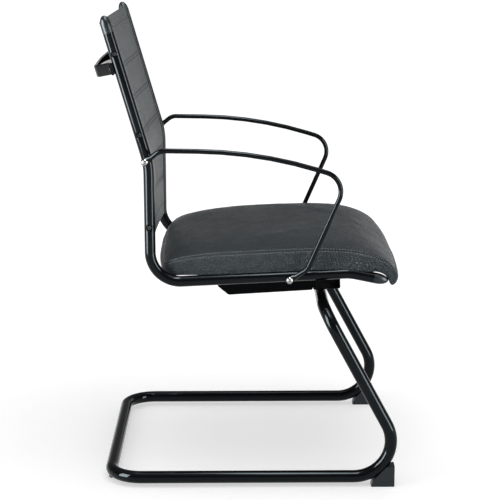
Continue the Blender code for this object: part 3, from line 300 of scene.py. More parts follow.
def rail_height(x):
    return RAIL_HEIGHT + x * math.tan(SEAT_TILT)


def as_mesh(name, shape):
    """Turns a bmesh into a mesh and frees it."""
    mesh = bpy.data.meshes.new(name)
    shape.to_mesh(mesh)
    shape.free()
    return mesh


def in_scene(name, data):
    """A new object in the scene that holds a mesh, a lamp or a camera."""
    thing = bpy.data.objects.new(name, data)
    bpy.context.scene.collection.objects.link(thing)
    return thing


def new_piece(name, shape, finish, *nodes):
    """Turns a bmesh into a dressed piece that rides on the frame and stands for its nodes."""
    mesh = as_mesh(name, shape)
    piece = in_scene(name, mesh)
    mesh.shade_smooth()
    mesh.set_sharp_from_angle(angle=SHARP_ANGLE)
    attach(piece, "root")
    if nodes:
        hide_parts(*nodes)
    dress(piece, finish)
    return piece


def dress(piece, finish):
    """Gives a piece the material of its finish."""
    material, slot = finish
    piece.data.materials.clear()
    piece.data.materials.append(material)


# Tubes and bars drawn along corners and bend radii
def open_ring(shape, sides, radius, stretch=0.0):
    """A round outline, or a bar's outline with full-round edges when stretched."""
    ring = bmesh.ops.create_circle(shape, cap_ends=False, radius=radius, segments=sides)["verts"]
    half_step = Matrix.Rotation(math.pi / sides, 3, "Z")
    bmesh.ops.rotate(shape, verts=ring, matrix=half_step)
    for vert in ring:
        vert.co.y += math.copysign(stretch, vert.co.y)
    return ring


def draw_run(shape, edges, step):
    grown = bmesh.ops.extrude_edge_only(shape, edges=edges)["geom"]
    verts = [item for item in grown if isinstance(item, bmesh.types.BMVert)]
    bmesh.ops.translate(shape, vec=step, verts=verts)
    return [item for item in grown if isinstance(item, bmesh.types.BMEdge) and item.is_boundary]


def draw_bend(shape, edges, centre, axis, angle):
    steps = max(3, math.ceil(angle / BEND_STEP))
    turned = bmesh.ops.spin(shape, geom=edges, cent=centre, axis=axis, angle=angle, steps=steps,
                            dvec=(0.0, 0.0, 0.0), use_duplicate=False)
    return [item for item in turned["geom_last"] if isinstance(item, bmesh.types.BMEdge)]


def bend_at(before, corner, after, radius):
    """Where a bend starts and ends, with its centre, axis and angle."""
    back = (before - corner).normalized()
    ahead = (after - corner).normalized()
    angle = math.pi - back.angle(ahead)
    tangent = radius * math.tan(angle / 2)
    start = corner + back * tangent
    finish = corner + ahead * tangent
    centre = corner + (back + ahead).normalized() * (radius / math.cos(angle / 2))
    axis = (start - centre).cross(finish - centre).normalized()
    return start, finish, centre, axis, angle


def drawn_tube(corners, radii, sides, radius, across=sideways(1.0), stretch=0.0):
    """A section drawn along straight runs and bends; radii belong to the inner corners."""
    shape = bmesh.new()
    ring = open_ring(shape, sides, radius, stretch)
    heading = (corners[1] - corners[0]).normalized()
    up = heading.cross(across).normalized()
    side = up.cross(heading)
    turn = Matrix((up, side, heading)).transposed().to_4x4()
    bmesh.ops.transform(shape, matrix=Matrix.Translation(corners[0]) @ turn, verts=ring)
    edges = list(shape.edges)
    place = corners[0]
    for i, radius_at in enumerate(radii, start=1):
        start, finish, centre, axis, angle = bend_at(corners[i - 1], corners[i], corners[i + 1],
                                                     radius_at)
        edges = draw_run(shape, edges, start - place)
        edges = draw_bend(shape, edges, centre, axis, angle)
        place = finish
    draw_run(shape, edges, corners[-1] - place)
    return shape


def close_up(shape, looped=False):
    """Joins what meets, and fills the open ends of a form that isn't closed on itself."""
    bmesh.ops.remove_doubles(shape, verts=shape.verts, dist=MERGE_DISTANCE)
    if not looped:
        bmesh.ops.holes_fill(shape, edges=shape.edges)
    bmesh.ops.recalc_face_normals(shape, faces=shape.faces)
    return shape


def slice_rings(shape, place, direction, offsets):
    """Extra rings across a straight run, for a dent or a flattened end."""
    for offset in offsets:
        bmesh.ops.bisect_plane(shape, geom=shape.verts[:] + shape.edges[:] + shape.faces[:],
                               dist=MERGE_DISTANCE, plane_co=place + direction * offset,
                               plane_no=direction)


def eased(share):
    share = min(1.0, max(0.0, share))
    return share * share * (3.0 - 2.0 * share)


# Turned pieces
def stand(shape, place, direction):
    """Sets an upright shape on a place, with its axis along a direction."""
    turn = direction.to_track_quat("Z", "Y").to_matrix().to_4x4()
    bmesh.ops.transform(shape, matrix=Matrix.Translation(place) @ turn, verts=shape.verts)
    return shape


def turned(profile, place, direction):
    """A profile of radius and height, spun about its axis and set on a place."""
    shape = bmesh.new()
    verts = [shape.verts.new((radius, 0.0, height)) for radius, height in profile]
    edges = [shape.edges.new(pair) for pair in zip(verts, verts[1:])]
    bmesh.ops.spin(shape, geom=verts + edges, cent=(0.0, 0.0, 0.0), axis=UP, angle=math.tau,
                   steps=TURN_STEPS, dvec=(0.0, 0.0, 0.0), use_merge=True, use_duplicate=False)
    return stand(close_up(shape, looped=True), place, direction)


def dome(radius, length, base):
    """A profile's quarter ellipse, from its top down to its rim."""
    angles = [math.pi / 2 * k / DOME_STEPS for k in range(DOME_STEPS + 1)]
    return [(radius * math.sin(angle), base + length * math.cos(angle)) for angle in angles]


# Nodes of a material or a group
def feed(tree, node, values):
    """Gives each input of a node its value, or links it to another node's output."""
    for key, value in values.items():
        if isinstance(value, bpy.types.NodeSocket):
            tree.links.new(value, node.inputs[key])
        else:
            node.inputs[key].default_value = value


def put(tree, kind, values=None, **settings):
    """A new node with its properties and its inputs."""
    node = tree.nodes.new(kind)
    for key, value in settings.items():
        setattr(node, key, value)
    feed(tree, node, values or {})
    return node


def reckon(tree, operation, first, second=0.0):
    return put(tree, "ShaderNodeMath", {0: first, 1: second}, operation=operation).outputs[0]


def product(tree, first, second):
    return reckon(tree, "MULTIPLY", first, second)


def total(tree, first, second):
    return reckon(tree, "ADD", first, second)


def ranged(tree, value, low, high, new_low=0.0, new_high=1.0):
    values = {"Value": value, "From Min": low, "From Max": high,
              "To Min": new_low, "To Max": new_high}
    return put(tree, "ShaderNodeMapRange", values).outputs["Result"]


def blended(tree, share, first, second):
    """Two colours mixed by a share."""
    return put(tree, "ShaderNodeMixRGB", {0: share, 1: first, 2: second}).outputs[0]


def noise(tree, place, scale, detail=2.0, roughness=0.5, output=0):
    values = {"Vector": place, "Scale": scale, "Detail": detail, "Roughness": roughness}
    return put(tree, "ShaderNodeTexNoise", values).outputs[output]


def cells(tree, place, scale, randomness=1.0):
    """How far a place lies from the nearest border between two cells."""
    values = {"Vector": place, "Scale": scale, "Randomness": randomness}
    return put(tree, "ShaderNodeTexVoronoi", values, feature="DISTANCE_TO_EDGE").outputs["Distance"]


def raised(tree, height, distance):
    """A normal for the shader, from a height."""
    values = {"Height": height, "Distance": distance, "Strength": 1.0}
    return put(tree, "ShaderNodeBump", values).outputs["Normal"]


def seen_rays(tree):
    """One for camera, glossy and transmission rays, zero for the rays that light the object."""
    path = put(tree, "ShaderNodeLightPath")
    first = reckon(tree, "MAXIMUM", path.outputs["Is Camera Ray"], path.outputs["Is Glossy Ray"])
    return reckon(tree, "MAXIMUM", first, path.outputs["Is Transmission Ray"])


def solid(color, shade=1.0):
    """A colour for a node, darkened where a shade is given."""
    return (*(channel * shade for channel in color), 1.0)


def blank(name):
    """A new material with its tree, its shader and its Object coordinates."""
    material = bpy.data.materials.new(name)
    material.use_nodes = True
    tree = material.node_tree
    place = put(tree, "ShaderNodeTexCoord").outputs["Object"]
    return material, tree, tree.nodes["Principled BSDF"], place


# Light, floor and camera
def make_camera():
    data = bpy.data.cameras.new("camera")
    data.sensor_width = SENSOR_WIDTH
    data.lens = FOCAL_PIXELS / IMAGE_WIDTH * SENSOR_WIDTH
    camera = in_scene("camera", data)
    turn = (Matrix.Rotation(-CAMERA_YAW, 4, "Z")
            @ Matrix.Rotation(math.pi / 2 - CAMERA_PITCH, 4, "X")
            @ Matrix.Rotation(CAMERA_ROLL, 4, "Z"))
    camera.matrix_world = Matrix.Translation(CAMERA_PLACE) @ turn
    bpy.context.scene.camera = camera


def make_floor():
    """A pale floor that is brighter away from the chair, as a studio's sweep is."""
    shape = bmesh.new()
    bmesh.ops.create_grid(shape, x_segments=1, y_segments=1, size=FLOOR_SIZE)
    floor = in_scene("floor", as_mesh("floor", shape))
    material, tree, shader, place = blank("floor_white")
    away = put(tree, "ShaderNodeVectorMath", {0: place}, operation="LENGTH").outputs["Value"]
    glow = ranged(tree, away, SWEEP_START, SWEEP_END, FLOOR_GLOW, SWEEP_GLOW)
    feed(tree, shader, {"Base Color": FLOOR_COLOR, "Roughness": FLOOR_ROUGHNESS,
                        "Specular IOR Level": FLOOR_SPECULAR, "Emission Color": WHITE,
                        "Emission Strength": product(tree, glow, seen_rays(tree))})
    floor.data.materials.append(material)


def make_world():
    """White to the camera, shaded by height in reflections, dimmer where it lights the object."""
    world = bpy.data.worlds.new("studio")
    bpy.context.scene.world = world
    world.use_nodes = True
    tree = world.node_tree
    place = put(tree, "ShaderNodeTexCoord").outputs["Generated"]
    height = put(tree, "ShaderNodeSeparateXYZ", {0: place}).outputs[2]
    ramp = put(tree, "ShaderNodeValToRGB", {0: ranged(tree, height, -1.0, 1.0)})
    stops = ramp.color_ramp.elements
    while len(stops) < len(SKY_STOPS):
        stops.new(0.5)
    for stop, (position, tone) in zip(stops, SKY_STOPS):
        stop.position = position
        stop.color = (tone, tone, tone, 1.0)
    mirrored = put(tree, "ShaderNodeLightPath").outputs["Is Glossy Ray"]
    feed(tree, tree.nodes["Background"],
         {"Color": blended(tree, mirrored, WHITE, ramp.outputs["Color"]),
          "Strength": ranged(tree, seen_rays(tree), 0.0, 1.0, WORLD_LIGHT, 1.0)})


def make_lamp(name, place, size, power, lights_matt):
    """A soft box; one that lights no matt surface only shows as a highlight on gloss."""
    data = bpy.data.lights.new(name, "AREA")
    data.shape = "RECTANGLE"
    data.size, data.size_y = size
    data.energy = power
    lamp = in_scene(name, data)
    lamp.location = place
    aim = Vector((0.0, 0.0, min(place.z, AIM_HEIGHT)))
    lamp.rotation_euler = (aim - place).to_track_quat("-Z", "Y").to_euler()
    lamp.visible_diffuse = lights_matt


def make_studio():
    make_camera()
    make_floor()
    make_world()
    for lamp in LAMPS:
        make_lamp(*lamp)
    bpy.context.scene.view_settings.view_transform = "Standard"


# Effects that more than one finish uses
def new_group(name, numbers, *outputs):
    """A node group that takes a place and numbers: its tree, its inputs and its end node."""
    group = bpy.data.node_groups.new(name, "ShaderNodeTree")
    new_socket = group.interface.new_socket
    new_socket("Place", in_out="INPUT", socket_type="NodeSocketVector")
    for label, value in numbers.items():
        new_socket(label, in_out="INPUT", socket_type="NodeSocketFloat").default_value = value
    for label in outputs:
        new_socket(label, in_out="OUTPUT", socket_type="NodeSocketFloat")
    return group, group.nodes.new("NodeGroupInput").outputs, group.nodes.new("NodeGroupOutput")


def edge_wear_group():
    """A mask of rubbed edges: sharp places broken up by noise."""
    group, enter, leave = new_group("edge_wear", {"Amount": 0.5, "Scale": 90.0}, "Mask")
    sharp = put(group, "ShaderNodeNewGeometry").outputs["Pointiness"]
    spots = noise(group, enter["Place"], enter["Scale"], detail=4.0, roughness=0.6)
    worn = product(group, ranged(group, sharp, 0.53, 0.62), ranged(group, spots, 0.42, 0.62))
    feed(group, leave, {"Mask": product(group, worn, enter["Amount"])})
    return group


def dust_group():
    """A mask of settled dust: thin on upward faces, patchy, none below."""
    group, enter, leave = new_group("settled_dust", {"Amount": 0.1}, "Mask")
    facing = put(group, "ShaderNodeNewGeometry").outputs["Normal"]
    up = put(group, "ShaderNodeSeparateXYZ", {0: facing}).outputs[2]
    fine = noise(group, enter["Place"], scale=420.0, detail=3.0, roughness=0.7)
    broad = noise(group, enter["Place"], scale=14.0)
    patches = product(group, ranged(group, fine, 0.45, 0.75), broad)
    settled = product(group, ranged(group, up, 0.35, 1.0), patches)
    feed(group, leave, {"Mask": product(group, settled, enter["Amount"])})
    return group


def film_group():
    """The slight unevenness of a coat of paint or a moulded skin: height, gloss and tone."""
    group, enter, leave = new_group("coat_film", {"Scale": 300.0}, "Height", "Gloss", "Tone")
    fine = noise(group, enter["Place"], enter["Scale"], detail=3.0, roughness=0.55)
    smears = noise(group, enter["Place"], scale=22.0, detail=4.0, roughness=0.65)
    feed(group, leave, {"Height": fine, "Gloss": ranged(group, smears, 0.35, 0.70),
                        "Tone": noise(group, enter["Place"], scale=7.0)})
    return group


def pebble_group():
    """Leather grain: rounded pebbles of two sizes with pores between them."""
    group, enter, leave = new_group("leather_pebble", {"Scale": 340.0}, "Height", "Pore")
    drift = noise(group, enter["Place"], scale=60.0, output="Color")
    bent = put(group, "ShaderNodeMixRGB", {0: PEBBLE_DRIFT, 1: enter["Place"], 2: drift},
               blend_type="ADD").outputs[0]
    large = cells(group, bent, enter["Scale"], randomness=0.9)
    small = cells(group, bent, product(group, enter["Scale"], PEBBLE_RATIO))
    domes = reckon(group, "POWER", ranged(group, large, 0.0, 0.28), PEBBLE_POWER)
    grains = ranged(group, small, 0.0, 0.22)
    height = total(group, product(group, domes, LARGE_SHARE), product(group, grains, SMALL_SHARE))
    feed(group, leave, {"Height": height, "Pore": ranged(group, large, 0.0, 0.09, 1.0, 0.0)})
    return group


EDGE_WEAR = edge_wear_group()
DUST = dust_group()
FILM = film_group()
PEBBLE = pebble_group()


def grouped(tree, group, values):
    return put(tree, "ShaderNodeGroup", values, node_tree=group).outputs


def coated(name, color, worn_color, gloss, film_scale, film_depth, wear, dust, metallic=0.0,
           specular=0.5):
    """A hard finish: its film, a change of gloss, rubbed edges and a little dust."""
    material, tree, shader, place = blank(name)
    film = grouped(tree, FILM, {"Place": place, "Scale": film_scale})
    rubbed = grouped(tree, EDGE_WEAR, {"Place": place, "Amount": wear})["Mask"]
    dusty = grouped(tree, DUST, {"Place": place, "Amount": dust})["Mask"]
    tint = blended(tree, film["Tone"], solid(color, FILM_SHADE), solid(color))
    tint = blended(tree, rubbed, tint, solid(worn_color))
    tint = blended(tree, dusty, tint, solid(DUST_COLOR))
    rough = ranged(tree, film["Gloss"], 0.0, 1.0, *gloss)
    rough = total(tree, rough, product(tree, dusty, DUST_DULLING))
    # Reflections are tinted cool here: a painted reflection colour
    feed(tree, shader, {"Base Color": tint, "Roughness": rough, "Metallic": metallic,
                        "Specular IOR Level": specular, "Specular Tint": solid(PAINTED_REFLECTION_TINT),
                        "Normal": raised(tree, film["Height"], film_depth)})
    return material


def leather_finish(name, color, scale, depth, gloss, specular, sheen):
    """Grained leather: pebbles, darker pores, a faint mottle, polish on raised places and painted
    shade in the sewn grooves.
    """
    material, tree, shader, place = blank(name)
    grain = grouped(tree, PEBBLE, {"Place": place, "Scale": scale})
    rubbed = grouped(tree, EDGE_WEAR, {"Place": place, "Amount": 0.5, "Scale": 60.0})["Mask"]
    dusty = grouped(tree, DUST, {"Place": place, "Amount": 0.05})["Mask"]
    # How deep a point lies in a sewn groove: painted shade in the grooves, and duller gloss there
    groove_shade = put(tree, "ShaderNodeAttribute", attribute_name="groove_shade").outputs["Fac"]
    mottle = ranged(tree, noise(tree, place, scale=18.0, detail=5.0, roughness=0.6), 0.30, 0.72)
    pore_and_seam_shade = solid(color, PORE_AND_SEAM_SHADE)
    tint = blended(tree, mottle, solid(color, MOTTLE_SHADE), solid(color))
    tint = blended(tree, product(tree, grain["Pore"], PORE_DARKENING), tint, pore_and_seam_shade)
    # Painted shade: the sewn grooves are darkened to the pore colour
    tint = blended(tree, groove_shade, tint, pore_and_seam_shade)
    tint = blended(tree, rubbed, tint, solid(RUBBED_COLOR))
    tint = blended(tree, dusty, tint, solid(DUST_COLOR))
    rough = ranged(tree, mottle, 0.0, 1.0, *reversed(gloss))
    rough = total(tree, rough, product(tree, grain["Pore"], PORE_DULLING))
    rough = total(tree, rough, product(tree, groove_shade, GROOVE_DULLING))
    creases = product(tree, noise(tree, place, scale=45.0, detail=3.0), CREASE_SHARE)
    # Reflections are tinted cool here: a painted reflection colour
    feed(tree, shader, {"Base Color": tint, "Roughness": rough, "Specular IOR Level": specular,
                        "Specular Tint": solid(PAINTED_REFLECTION_TINT), "Sheen Weight": sheen,
                        "Sheen Roughness": SHEEN_ROUGHNESS,
                        "Normal": raised(tree, total(tree, grain["Height"], creases), depth)})
    return material


def plywood_finish():
    """Pale veneer with long fibres, and the layers of the sheet along its edges."""
    material, tree, shader, place = blank("seat_board_plywood")
    along = put(tree, "ShaderNodeMapping", {"Vector": place, "Scale": (4.0, 90.0, 90.0)})
    fibres = noise(tree, along.outputs[0], scale=3.0, detail=5.0, roughness=0.6)
    tall = put(tree, "ShaderNodeMapping", {"Vector": place, "Scale": (2.0, 2.0, 700.0),
                                           "Rotation": (0.0, SEAT_TILT, 0.0)})
    layers = noise(tree, tall.outputs[0], scale=1.0, detail=1.0)
    dark, pale, layer = (solid(color) for color in VENEER_COLORS)
    tint = blended(tree, ranged(tree, fibres, 0.3, 0.7), dark, pale)
    tint = blended(tree, ranged(tree, layers, 0.45, 0.60, 0.0, 0.45), tint, layer)
    feed(tree, shader, {"Base Color": tint, "Roughness": ranged(tree, fibres, 0.0, 1.0, 0.55, 0.75),
                        "Normal": raised(tree, fibres, 0.0004)})
    return material


def thread_finish():
    """Waxed thread: a tight twist along each stitch."""
    material, tree, shader, place = blank("stitch_thread")
    twist = noise(tree, place, scale=1500.0, detail=1.0)
    dark, pale = (solid(color) for color in THREAD_COLORS)
    feed(tree, shader, {"Base Color": blended(tree, ranged(tree, twist, 0.35, 0.65), dark, pale),
                        "Roughness": 0.45, "Normal": raised(tree, twist, 0.0002)})
    return material


# Frame tubes
def bolt_places(side):
    """The rear and front arm fixings on the side frame's centre plane."""
    rear = post_axis(REAR_EYE_HEIGHT) - Vector((REAR_EYE_SETBACK, 0.0, 0.0))
    front = Vector((FRONT_EYE_X, 0.0, rail_height(FRONT_EYE_X) - FRONT_EYE_DROP))
    return {"rear": rear + sideways(side * SIDE_Y), "front": front + sideways(side * SIDE_Y)}


def side_corners(side):
    drop = (RAIL_END_X - RAIL_NOSE_X) * math.tan(RAIL_NOSE_DROP)
    corners = [post_axis(POST_TUBE_TOP), post_axis(KINK_HEIGHT),
               Vector((POST_X, 0.0, rail_height(POST_X))),
               Vector((RAIL_NOSE_X, 0.0, rail_height(RAIL_NOSE_X))),
               Vector((RAIL_END_X, 0.0, rail_height(RAIL_NOSE_X) - drop))]
    return [corner + sideways(side * SIDE_Y) for corner in corners]


def press_dimple(shape, place, axis, side):
    """The dish for a back screw, pressed into the outer wall of the post."""
    for vert in shape.verts:
        offset = vert.co - place
        if offset.y * side < 0.0 or abs(offset.dot(axis)) > DIMPLE_RADIUS:
            continue
        offset.y = 0.0
        flat = eased((offset.length - SCREW_RADIUS) / (DIMPLE_RADIUS - SCREW_RADIUS))
        if offset.length < DIMPLE_RADIUS:
            reach = TUBE_RADIUS - DIMPLE_DEPTH * (1.0 - flat)
            vert.co.y = side * min(side * vert.co.y, SIDE_Y + reach)


def make_side_frame(label, side):
    shape = drawn_tube(side_corners(side), (KINK_RADIUS, POST_BEND_RADIUS, NOSE_RADIUS), TUBE_SIDES,
                       TUBE_RADIUS)
    close_up(shape)
    slices = [DIMPLE_RADIUS * k / DIMPLE_SLICES for k in range(-DIMPLE_SLICES, DIMPLE_SLICES + 1)]
    for height in SCREW_HEIGHTS.values():
        axis = LEAN_AXIS if height > KINK_HEIGHT else UP
        place = post_axis(height) + sideways(side * SIDE_Y)
        slice_rings(shape, place, axis, slices)
        press_dimple(shape, place, axis, side)
    bmesh.ops.recalc_face_normals(shape, faces=shape.faces)
    new_piece(f"side_tube_{label}", shape, PAINT, f"side_frame_{label}")


def fitting_profile(straight, domed):
    return (dome(TUBE_RADIUS, domed, straight)
            + [(TUBE_RADIUS, SHOULDER), (TUBE_RADIUS - SHOULDER, GAP), (0.0, GAP)])


def make_end_fittings(label, side):
    """The soft-ended cap on the post and the plug in the rail's nose."""
    corners = side_corners(side)
    cap = turned(fitting_profile(CAP_LENGTH - CAP_DOME_LENGTH, CAP_DOME_LENGTH), corners[0],
                 LEAN_AXIS)
    new_piece(f"cap_{label}", cap, PLASTIC, f"post_cap_{label}")
    ahead = (corners[-1] - corners[-2]).normalized()
    plug = turned(fitting_profile(PLUG_STRAIGHT, PLUG_LENGTH - PLUG_STRAIGHT), corners[-1], ahead)
    new_piece(f"plug_{label}", plug, PLASTIC, f"rail_plug_{label}")


def base_corners():
    """The loop's corners, started and ended in the middle of the rear cross tube."""
    drop = (PAN_DEPTH + GAP + BASE_RADIUS) / math.cos(SEAT_TILT)
    foot = FRONT_CORNER_X + RUNNER_HEIGHT * math.tan(LEG_LEAN)
    top_height = ((RAIL_HEIGHT + foot * math.tan(SEAT_TILT) - drop)
                  / (1.0 + math.tan(SEAT_TILT) * math.tan(LEG_LEAN)))
    top_x = foot - top_height * math.tan(LEG_LEAN)
    left = [Vector((REAR_CROSS_X, RUNNER_Y, RUNNER_HEIGHT)),
            Vector((FRONT_CORNER_X, RUNNER_Y, RUNNER_HEIGHT)),
            Vector((top_x, RUNNER_Y, top_height))]
    right = [corner * Vector((1.0, -1.0, 1.0)) for corner in reversed(left)]
    start = Vector((REAR_CROSS_X, 0.0, RUNNER_HEIGHT))
    return [start, *left, *right, start]


def make_base():
    half = (REAR_CORNER_RADIUS, FRONT_CORNER_RADIUS, TOP_CORNER_RADIUS)
    shape = drawn_tube(base_corners(), half + half[::-1], TUBE_SIDES, BASE_RADIUS, across=UP)
    close_up(shape, looped=True)
    new_piece("base_tube", shape, PAINT, "base_frame")
    for label, side in SIDES.items():
        place = Vector((REAR_CROSS_X, side * GLIDE_Y, 0.0))
        profile = [(0.0, GLIDE_HEIGHT), (GLIDE_RADIUS, GLIDE_HEIGHT),
                   (GLIDE_RADIUS, GLIDE_RADIUS / 3), (GLIDE_RADIUS * 0.8, 0.0), (0.0, 0.0)]
        glide = turned(profile, place, UP)
        new_piece(f"glide_{label}", glide, PLASTIC, f"rear_glide_{label}")


# Arms
def flatten_end(shape, eye, run):
    """Presses a rod's end flat and wider towards its eye."""
    across = Vector((-run.z, 0.0, run.x)).normalized()
    for vert in shape.verts:
        along = (vert.co - eye).dot(run)
        if abs(along) > NECK_LENGTH or (vert.co - eye).length > 2 * NECK_LENGTH:
            continue
        press = 1.0 - eased((along - EYE_RADIUS) / (NECK_LENGTH - EYE_RADIUS))
        centre = eye + run * along
        offset = vert.co - centre
        level = EYE_THICKNESS / 2 / ROD_RADIUS
        vert.co.y = centre.y + offset.y * (1.0 - press * (1.0 - level))
        vert.co += across * offset.dot(across) * press * EYE_WIDENING


def make_arm(label, side):
    """A bent rod, flattened at both ends into a round eye."""
    bolts = bolt_places(side)
    ends = [Vector((bolts[end].x, side * EYE_Y, bolts[end].z)) for end in ("rear", "front")]
    corners = [ends[0], *(Vector((x, side * ARM_Y, z)) for x, z in ARM_CORNERS), ends[1]]
    shape = drawn_tube(corners, ARM_RADII, ROD_SIDES, ROD_RADIUS)
    close_up(shape)
    for eye, beside in ((ends[0], corners[1]), (ends[1], corners[-2])):
        run = (beside - eye).normalized()
        for k in range(1, NECK_SLICES + 1):
            geom = [item for kind in (shape.verts, shape.edges, shape.faces) for item in kind
                    if near(item, eye, 2 * NECK_LENGTH)]
            bmesh.ops.bisect_plane(shape, geom=geom, dist=MERGE_DISTANCE, plane_no=run,
                                   plane_co=eye + run * (NECK_LENGTH * k / NECK_SLICES))
        flatten_end(shape, eye, run)
    edge = EYE_THICKNESS / 2
    soft = EYE_THICKNESS / 5
    profile = [(0.0, edge), (EYE_RADIUS - soft, edge), (EYE_RADIUS - soft / 3, edge - soft / 3),
               (EYE_RADIUS, edge - soft), (EYE_RADIUS, soft - edge),
               (EYE_RADIUS - soft / 3, soft / 3 - edge), (EYE_RADIUS - soft, -edge), (0.0, -edge)]
    new_piece(f"arm_rod_{label}", shape, PAINT, f"armrest_{label}")
    for end, eye in zip(("rear", "front"), ends):
        disc = turned(profile, eye, sideways(side))
        new_piece(f"arm_eye_{end}_{label}", disc, PAINT)
        make_arm_fixing(f"{end}_{label}", side, bolts[end])


def near(item, place, reach):
    """Whether a vertex lies within reach of a place, or all of an edge or face not far beyond."""
    if isinstance(item, bmesh.types.BMVert):
        return (item.co - place).length < reach
    return all((vert.co - place).length < 3 * reach for vert in item.verts)


def make_arm_fixing(label, side, place):
    """A domed bolt with a hexagonal socket, over the eye, and the washer behind it."""
    outward = sideways(side)
    seat = EYE_Y + EYE_THICKNESS / 2 + GAP - SIDE_Y
    crown = [point for point in dome(BOLT_HEAD_RADIUS, BOLT_HEAD_HEIGHT, seat)
             if point[0] > BOLT_SOCKET]
    floor = crown[0][1] - BOLT_SOCKET_DEPTH
    profile = [(0.0, floor), (BOLT_SOCKET, floor), (BOLT_SOCKET, crown[0][1]), *crown, (0.0, seat)]
    shape = turned(profile, Vector(), UP)
    for vert in shape.verts:
        reach = math.hypot(vert.co.x, vert.co.y)
        if 0.0 < reach < BOLT_SOCKET + SHOULDER / 2 and vert.co.z > seat + GAP:
            angle = math.atan2(vert.co.y, vert.co.x) % (math.pi / 3) - math.pi / 6
            hexagon = math.cos(math.pi / 6) / math.cos(angle)
            vert.co.x *= hexagon
            vert.co.y *= hexagon
    new_piece(f"bolt_{label}", stand(shape, place, outward), CHROME, f"arm_bolt_{label}")
    high = EYE_Y - EYE_THICKNESS / 2 - GAP - SIDE_Y
    ring = [(0.0, high), (WASHER_RADIUS, high), (WASHER_RADIUS, high - WASHER_THICKNESS),
            (0.0, high - WASHER_THICKNESS)]
    new_piece(f"washer_{label}", turned(ring, place, outward), CHROME, f"arm_washer_{label}")


# Back brace and screws
def brace_point(depth, y):
    return post_axis(BRACE_HEIGHT) - LEAN_FORWARD * depth + sideways(y)


def make_brace():
    """The brace with its two screws, and the six screws of the back."""
    tab = TUBE_RADIUS + GAP + BRACE_THICKNESS / 2
    plan = [(tab, SIDE_Y + BRACE_TAB_OVERHANG), (tab, SIDE_Y - BRACE_TAB_INSET),
            (BRACE_STAND_OFF, BRACE_SHOULDER_Y), (BRACE_STAND_OFF + BRACE_BOW, 0.0)]
    corners = [brace_point(depth, y) for depth, y in plan]
    corners += [brace_point(depth, -y) for depth, y in plan[-2::-1]]
    radii = (BRACE_TAB_RADIUS, BRACE_SHOULDER_RADIUS, BRACE_BOW_RADIUS, BRACE_SHOULDER_RADIUS,
             BRACE_TAB_RADIUS)
    shape = drawn_tube(corners, radii, ROD_SIDES, BRACE_THICKNESS / 2, across=LEAN_AXIS,
                       stretch=BRACE_WIDTH / 2 - BRACE_THICKNESS / 2)
    new_piece("brace", close_up(shape), PAINT, "back_brace")
    for label, side in SIDES.items():
        seat = GAP * 2 + BRACE_THICKNESS
        crown = [point for point in dome(BRACE_SCREW_RADIUS, BRACE_SCREW_HEIGHT, seat)
                 if point[0] > SCREW_SOCKET]
        profile = [(0.0, seat), (SCREW_SOCKET, seat), *crown, (0.0, seat - GAP)]
        screw = turned(profile, brace_point(TUBE_RADIUS, side * SIDE_Y), -LEAN_FORWARD)
        new_piece(f"brace_head_{label}", screw, STEEL, f"brace_screw_{label}")
        for height_label, height in SCREW_HEIGHTS.items():
            make_back_screw(f"{height_label}_{label}", side, height)


def make_back_screw(label, side, height):
    """A low head in its dish, with a socket."""
    outward = sideways(side)
    top = GAP - DIMPLE_DEPTH + SCREW_HEIGHT
    low = -DIMPLE_DEPTH - GAP
    profile = [(0.0, top - SCREW_SOCKET), (SCREW_SOCKET, top - SCREW_SOCKET), (SCREW_SOCKET, top),
               (SCREW_RADIUS - SHOULDER, top), (SCREW_RADIUS, top - SHOULDER),
               (SCREW_RADIUS, low), (0.0, low)]
    place = post_axis(height) + outward * (SIDE_Y + TUBE_RADIUS)
    screw = turned(profile, place, outward)
    new_piece(f"back_screw_head_{label}", screw, STEEL, f"back_screw_{label}")


# Slung back
def panel_seams():
    return [FIRST_SEAM_HEIGHT - k * SEAM_SPACING for k in range(SEAM_COUNT)]


def hem_heights():
    return [PANEL_TOP - TOP_HEM_HEIGHT, PANEL_BOTTOM + BOTTOM_HEM_HEIGHT]


def sewn_heights():
    """Two rows of stitches for each channel, and one for each hem."""
    rows = [seam + way * CHANNEL_HALF_WIDTH for seam in panel_seams() for way in (-1, 1)]
    return rows + hem_heights()


def panel_frame(height):
    """Centre of the bent post at a height, with the direction square to it."""
    arc = KINK_RADIUS * math.tan(POST_LEAN / 2)
    low = KINK_HEIGHT - arc
    high = KINK_HEIGHT + arc * math.cos(POST_LEAN)
    if height <= low:
        return Vector((POST_X, 0.0, height)), Vector((1.0, 0.0, 0.0))
    if height >= high:
        return post_axis(height), LEAN_FORWARD
    angle = math.asin((height - low) / KINK_RADIUS)
    centre = Vector((POST_X - KINK_RADIUS * (1.0 - math.cos(angle)), 0.0, height))
    return centre, Vector((math.cos(angle), 0.0, math.sin(angle)))


def stitched_dent(height):
    """How deep the two rows of a sewn channel, or a hem's row, sink at a height."""
    return sum(CHANNEL_DEPTH * math.exp(-((height - row) / CHANNEL_SPREAD) ** 2)
               for row in sewn_heights())


def panel_hang(height, share):
    """How far the slack leather lies back, and how far it lies down, between the stiles."""
    slack = 1.0 - share ** 2
    along = (height - PANEL_BOTTOM) / (PANEL_TOP - PANEL_BOTTOM)
    return [(low + (high - low) * along) * slack for low, high in (PANEL_SAG, PANEL_DIP)]


def panel_place(height, depth, y, share):
    """A place on the hung leather at a height and depth on the post's line."""
    centre, forward = panel_frame(height)
    up = Vector((-forward.z, 0.0, forward.x))
    back, down = panel_hang(height, share)
    return centre + forward * (depth - back) + sideways(y) - up * down


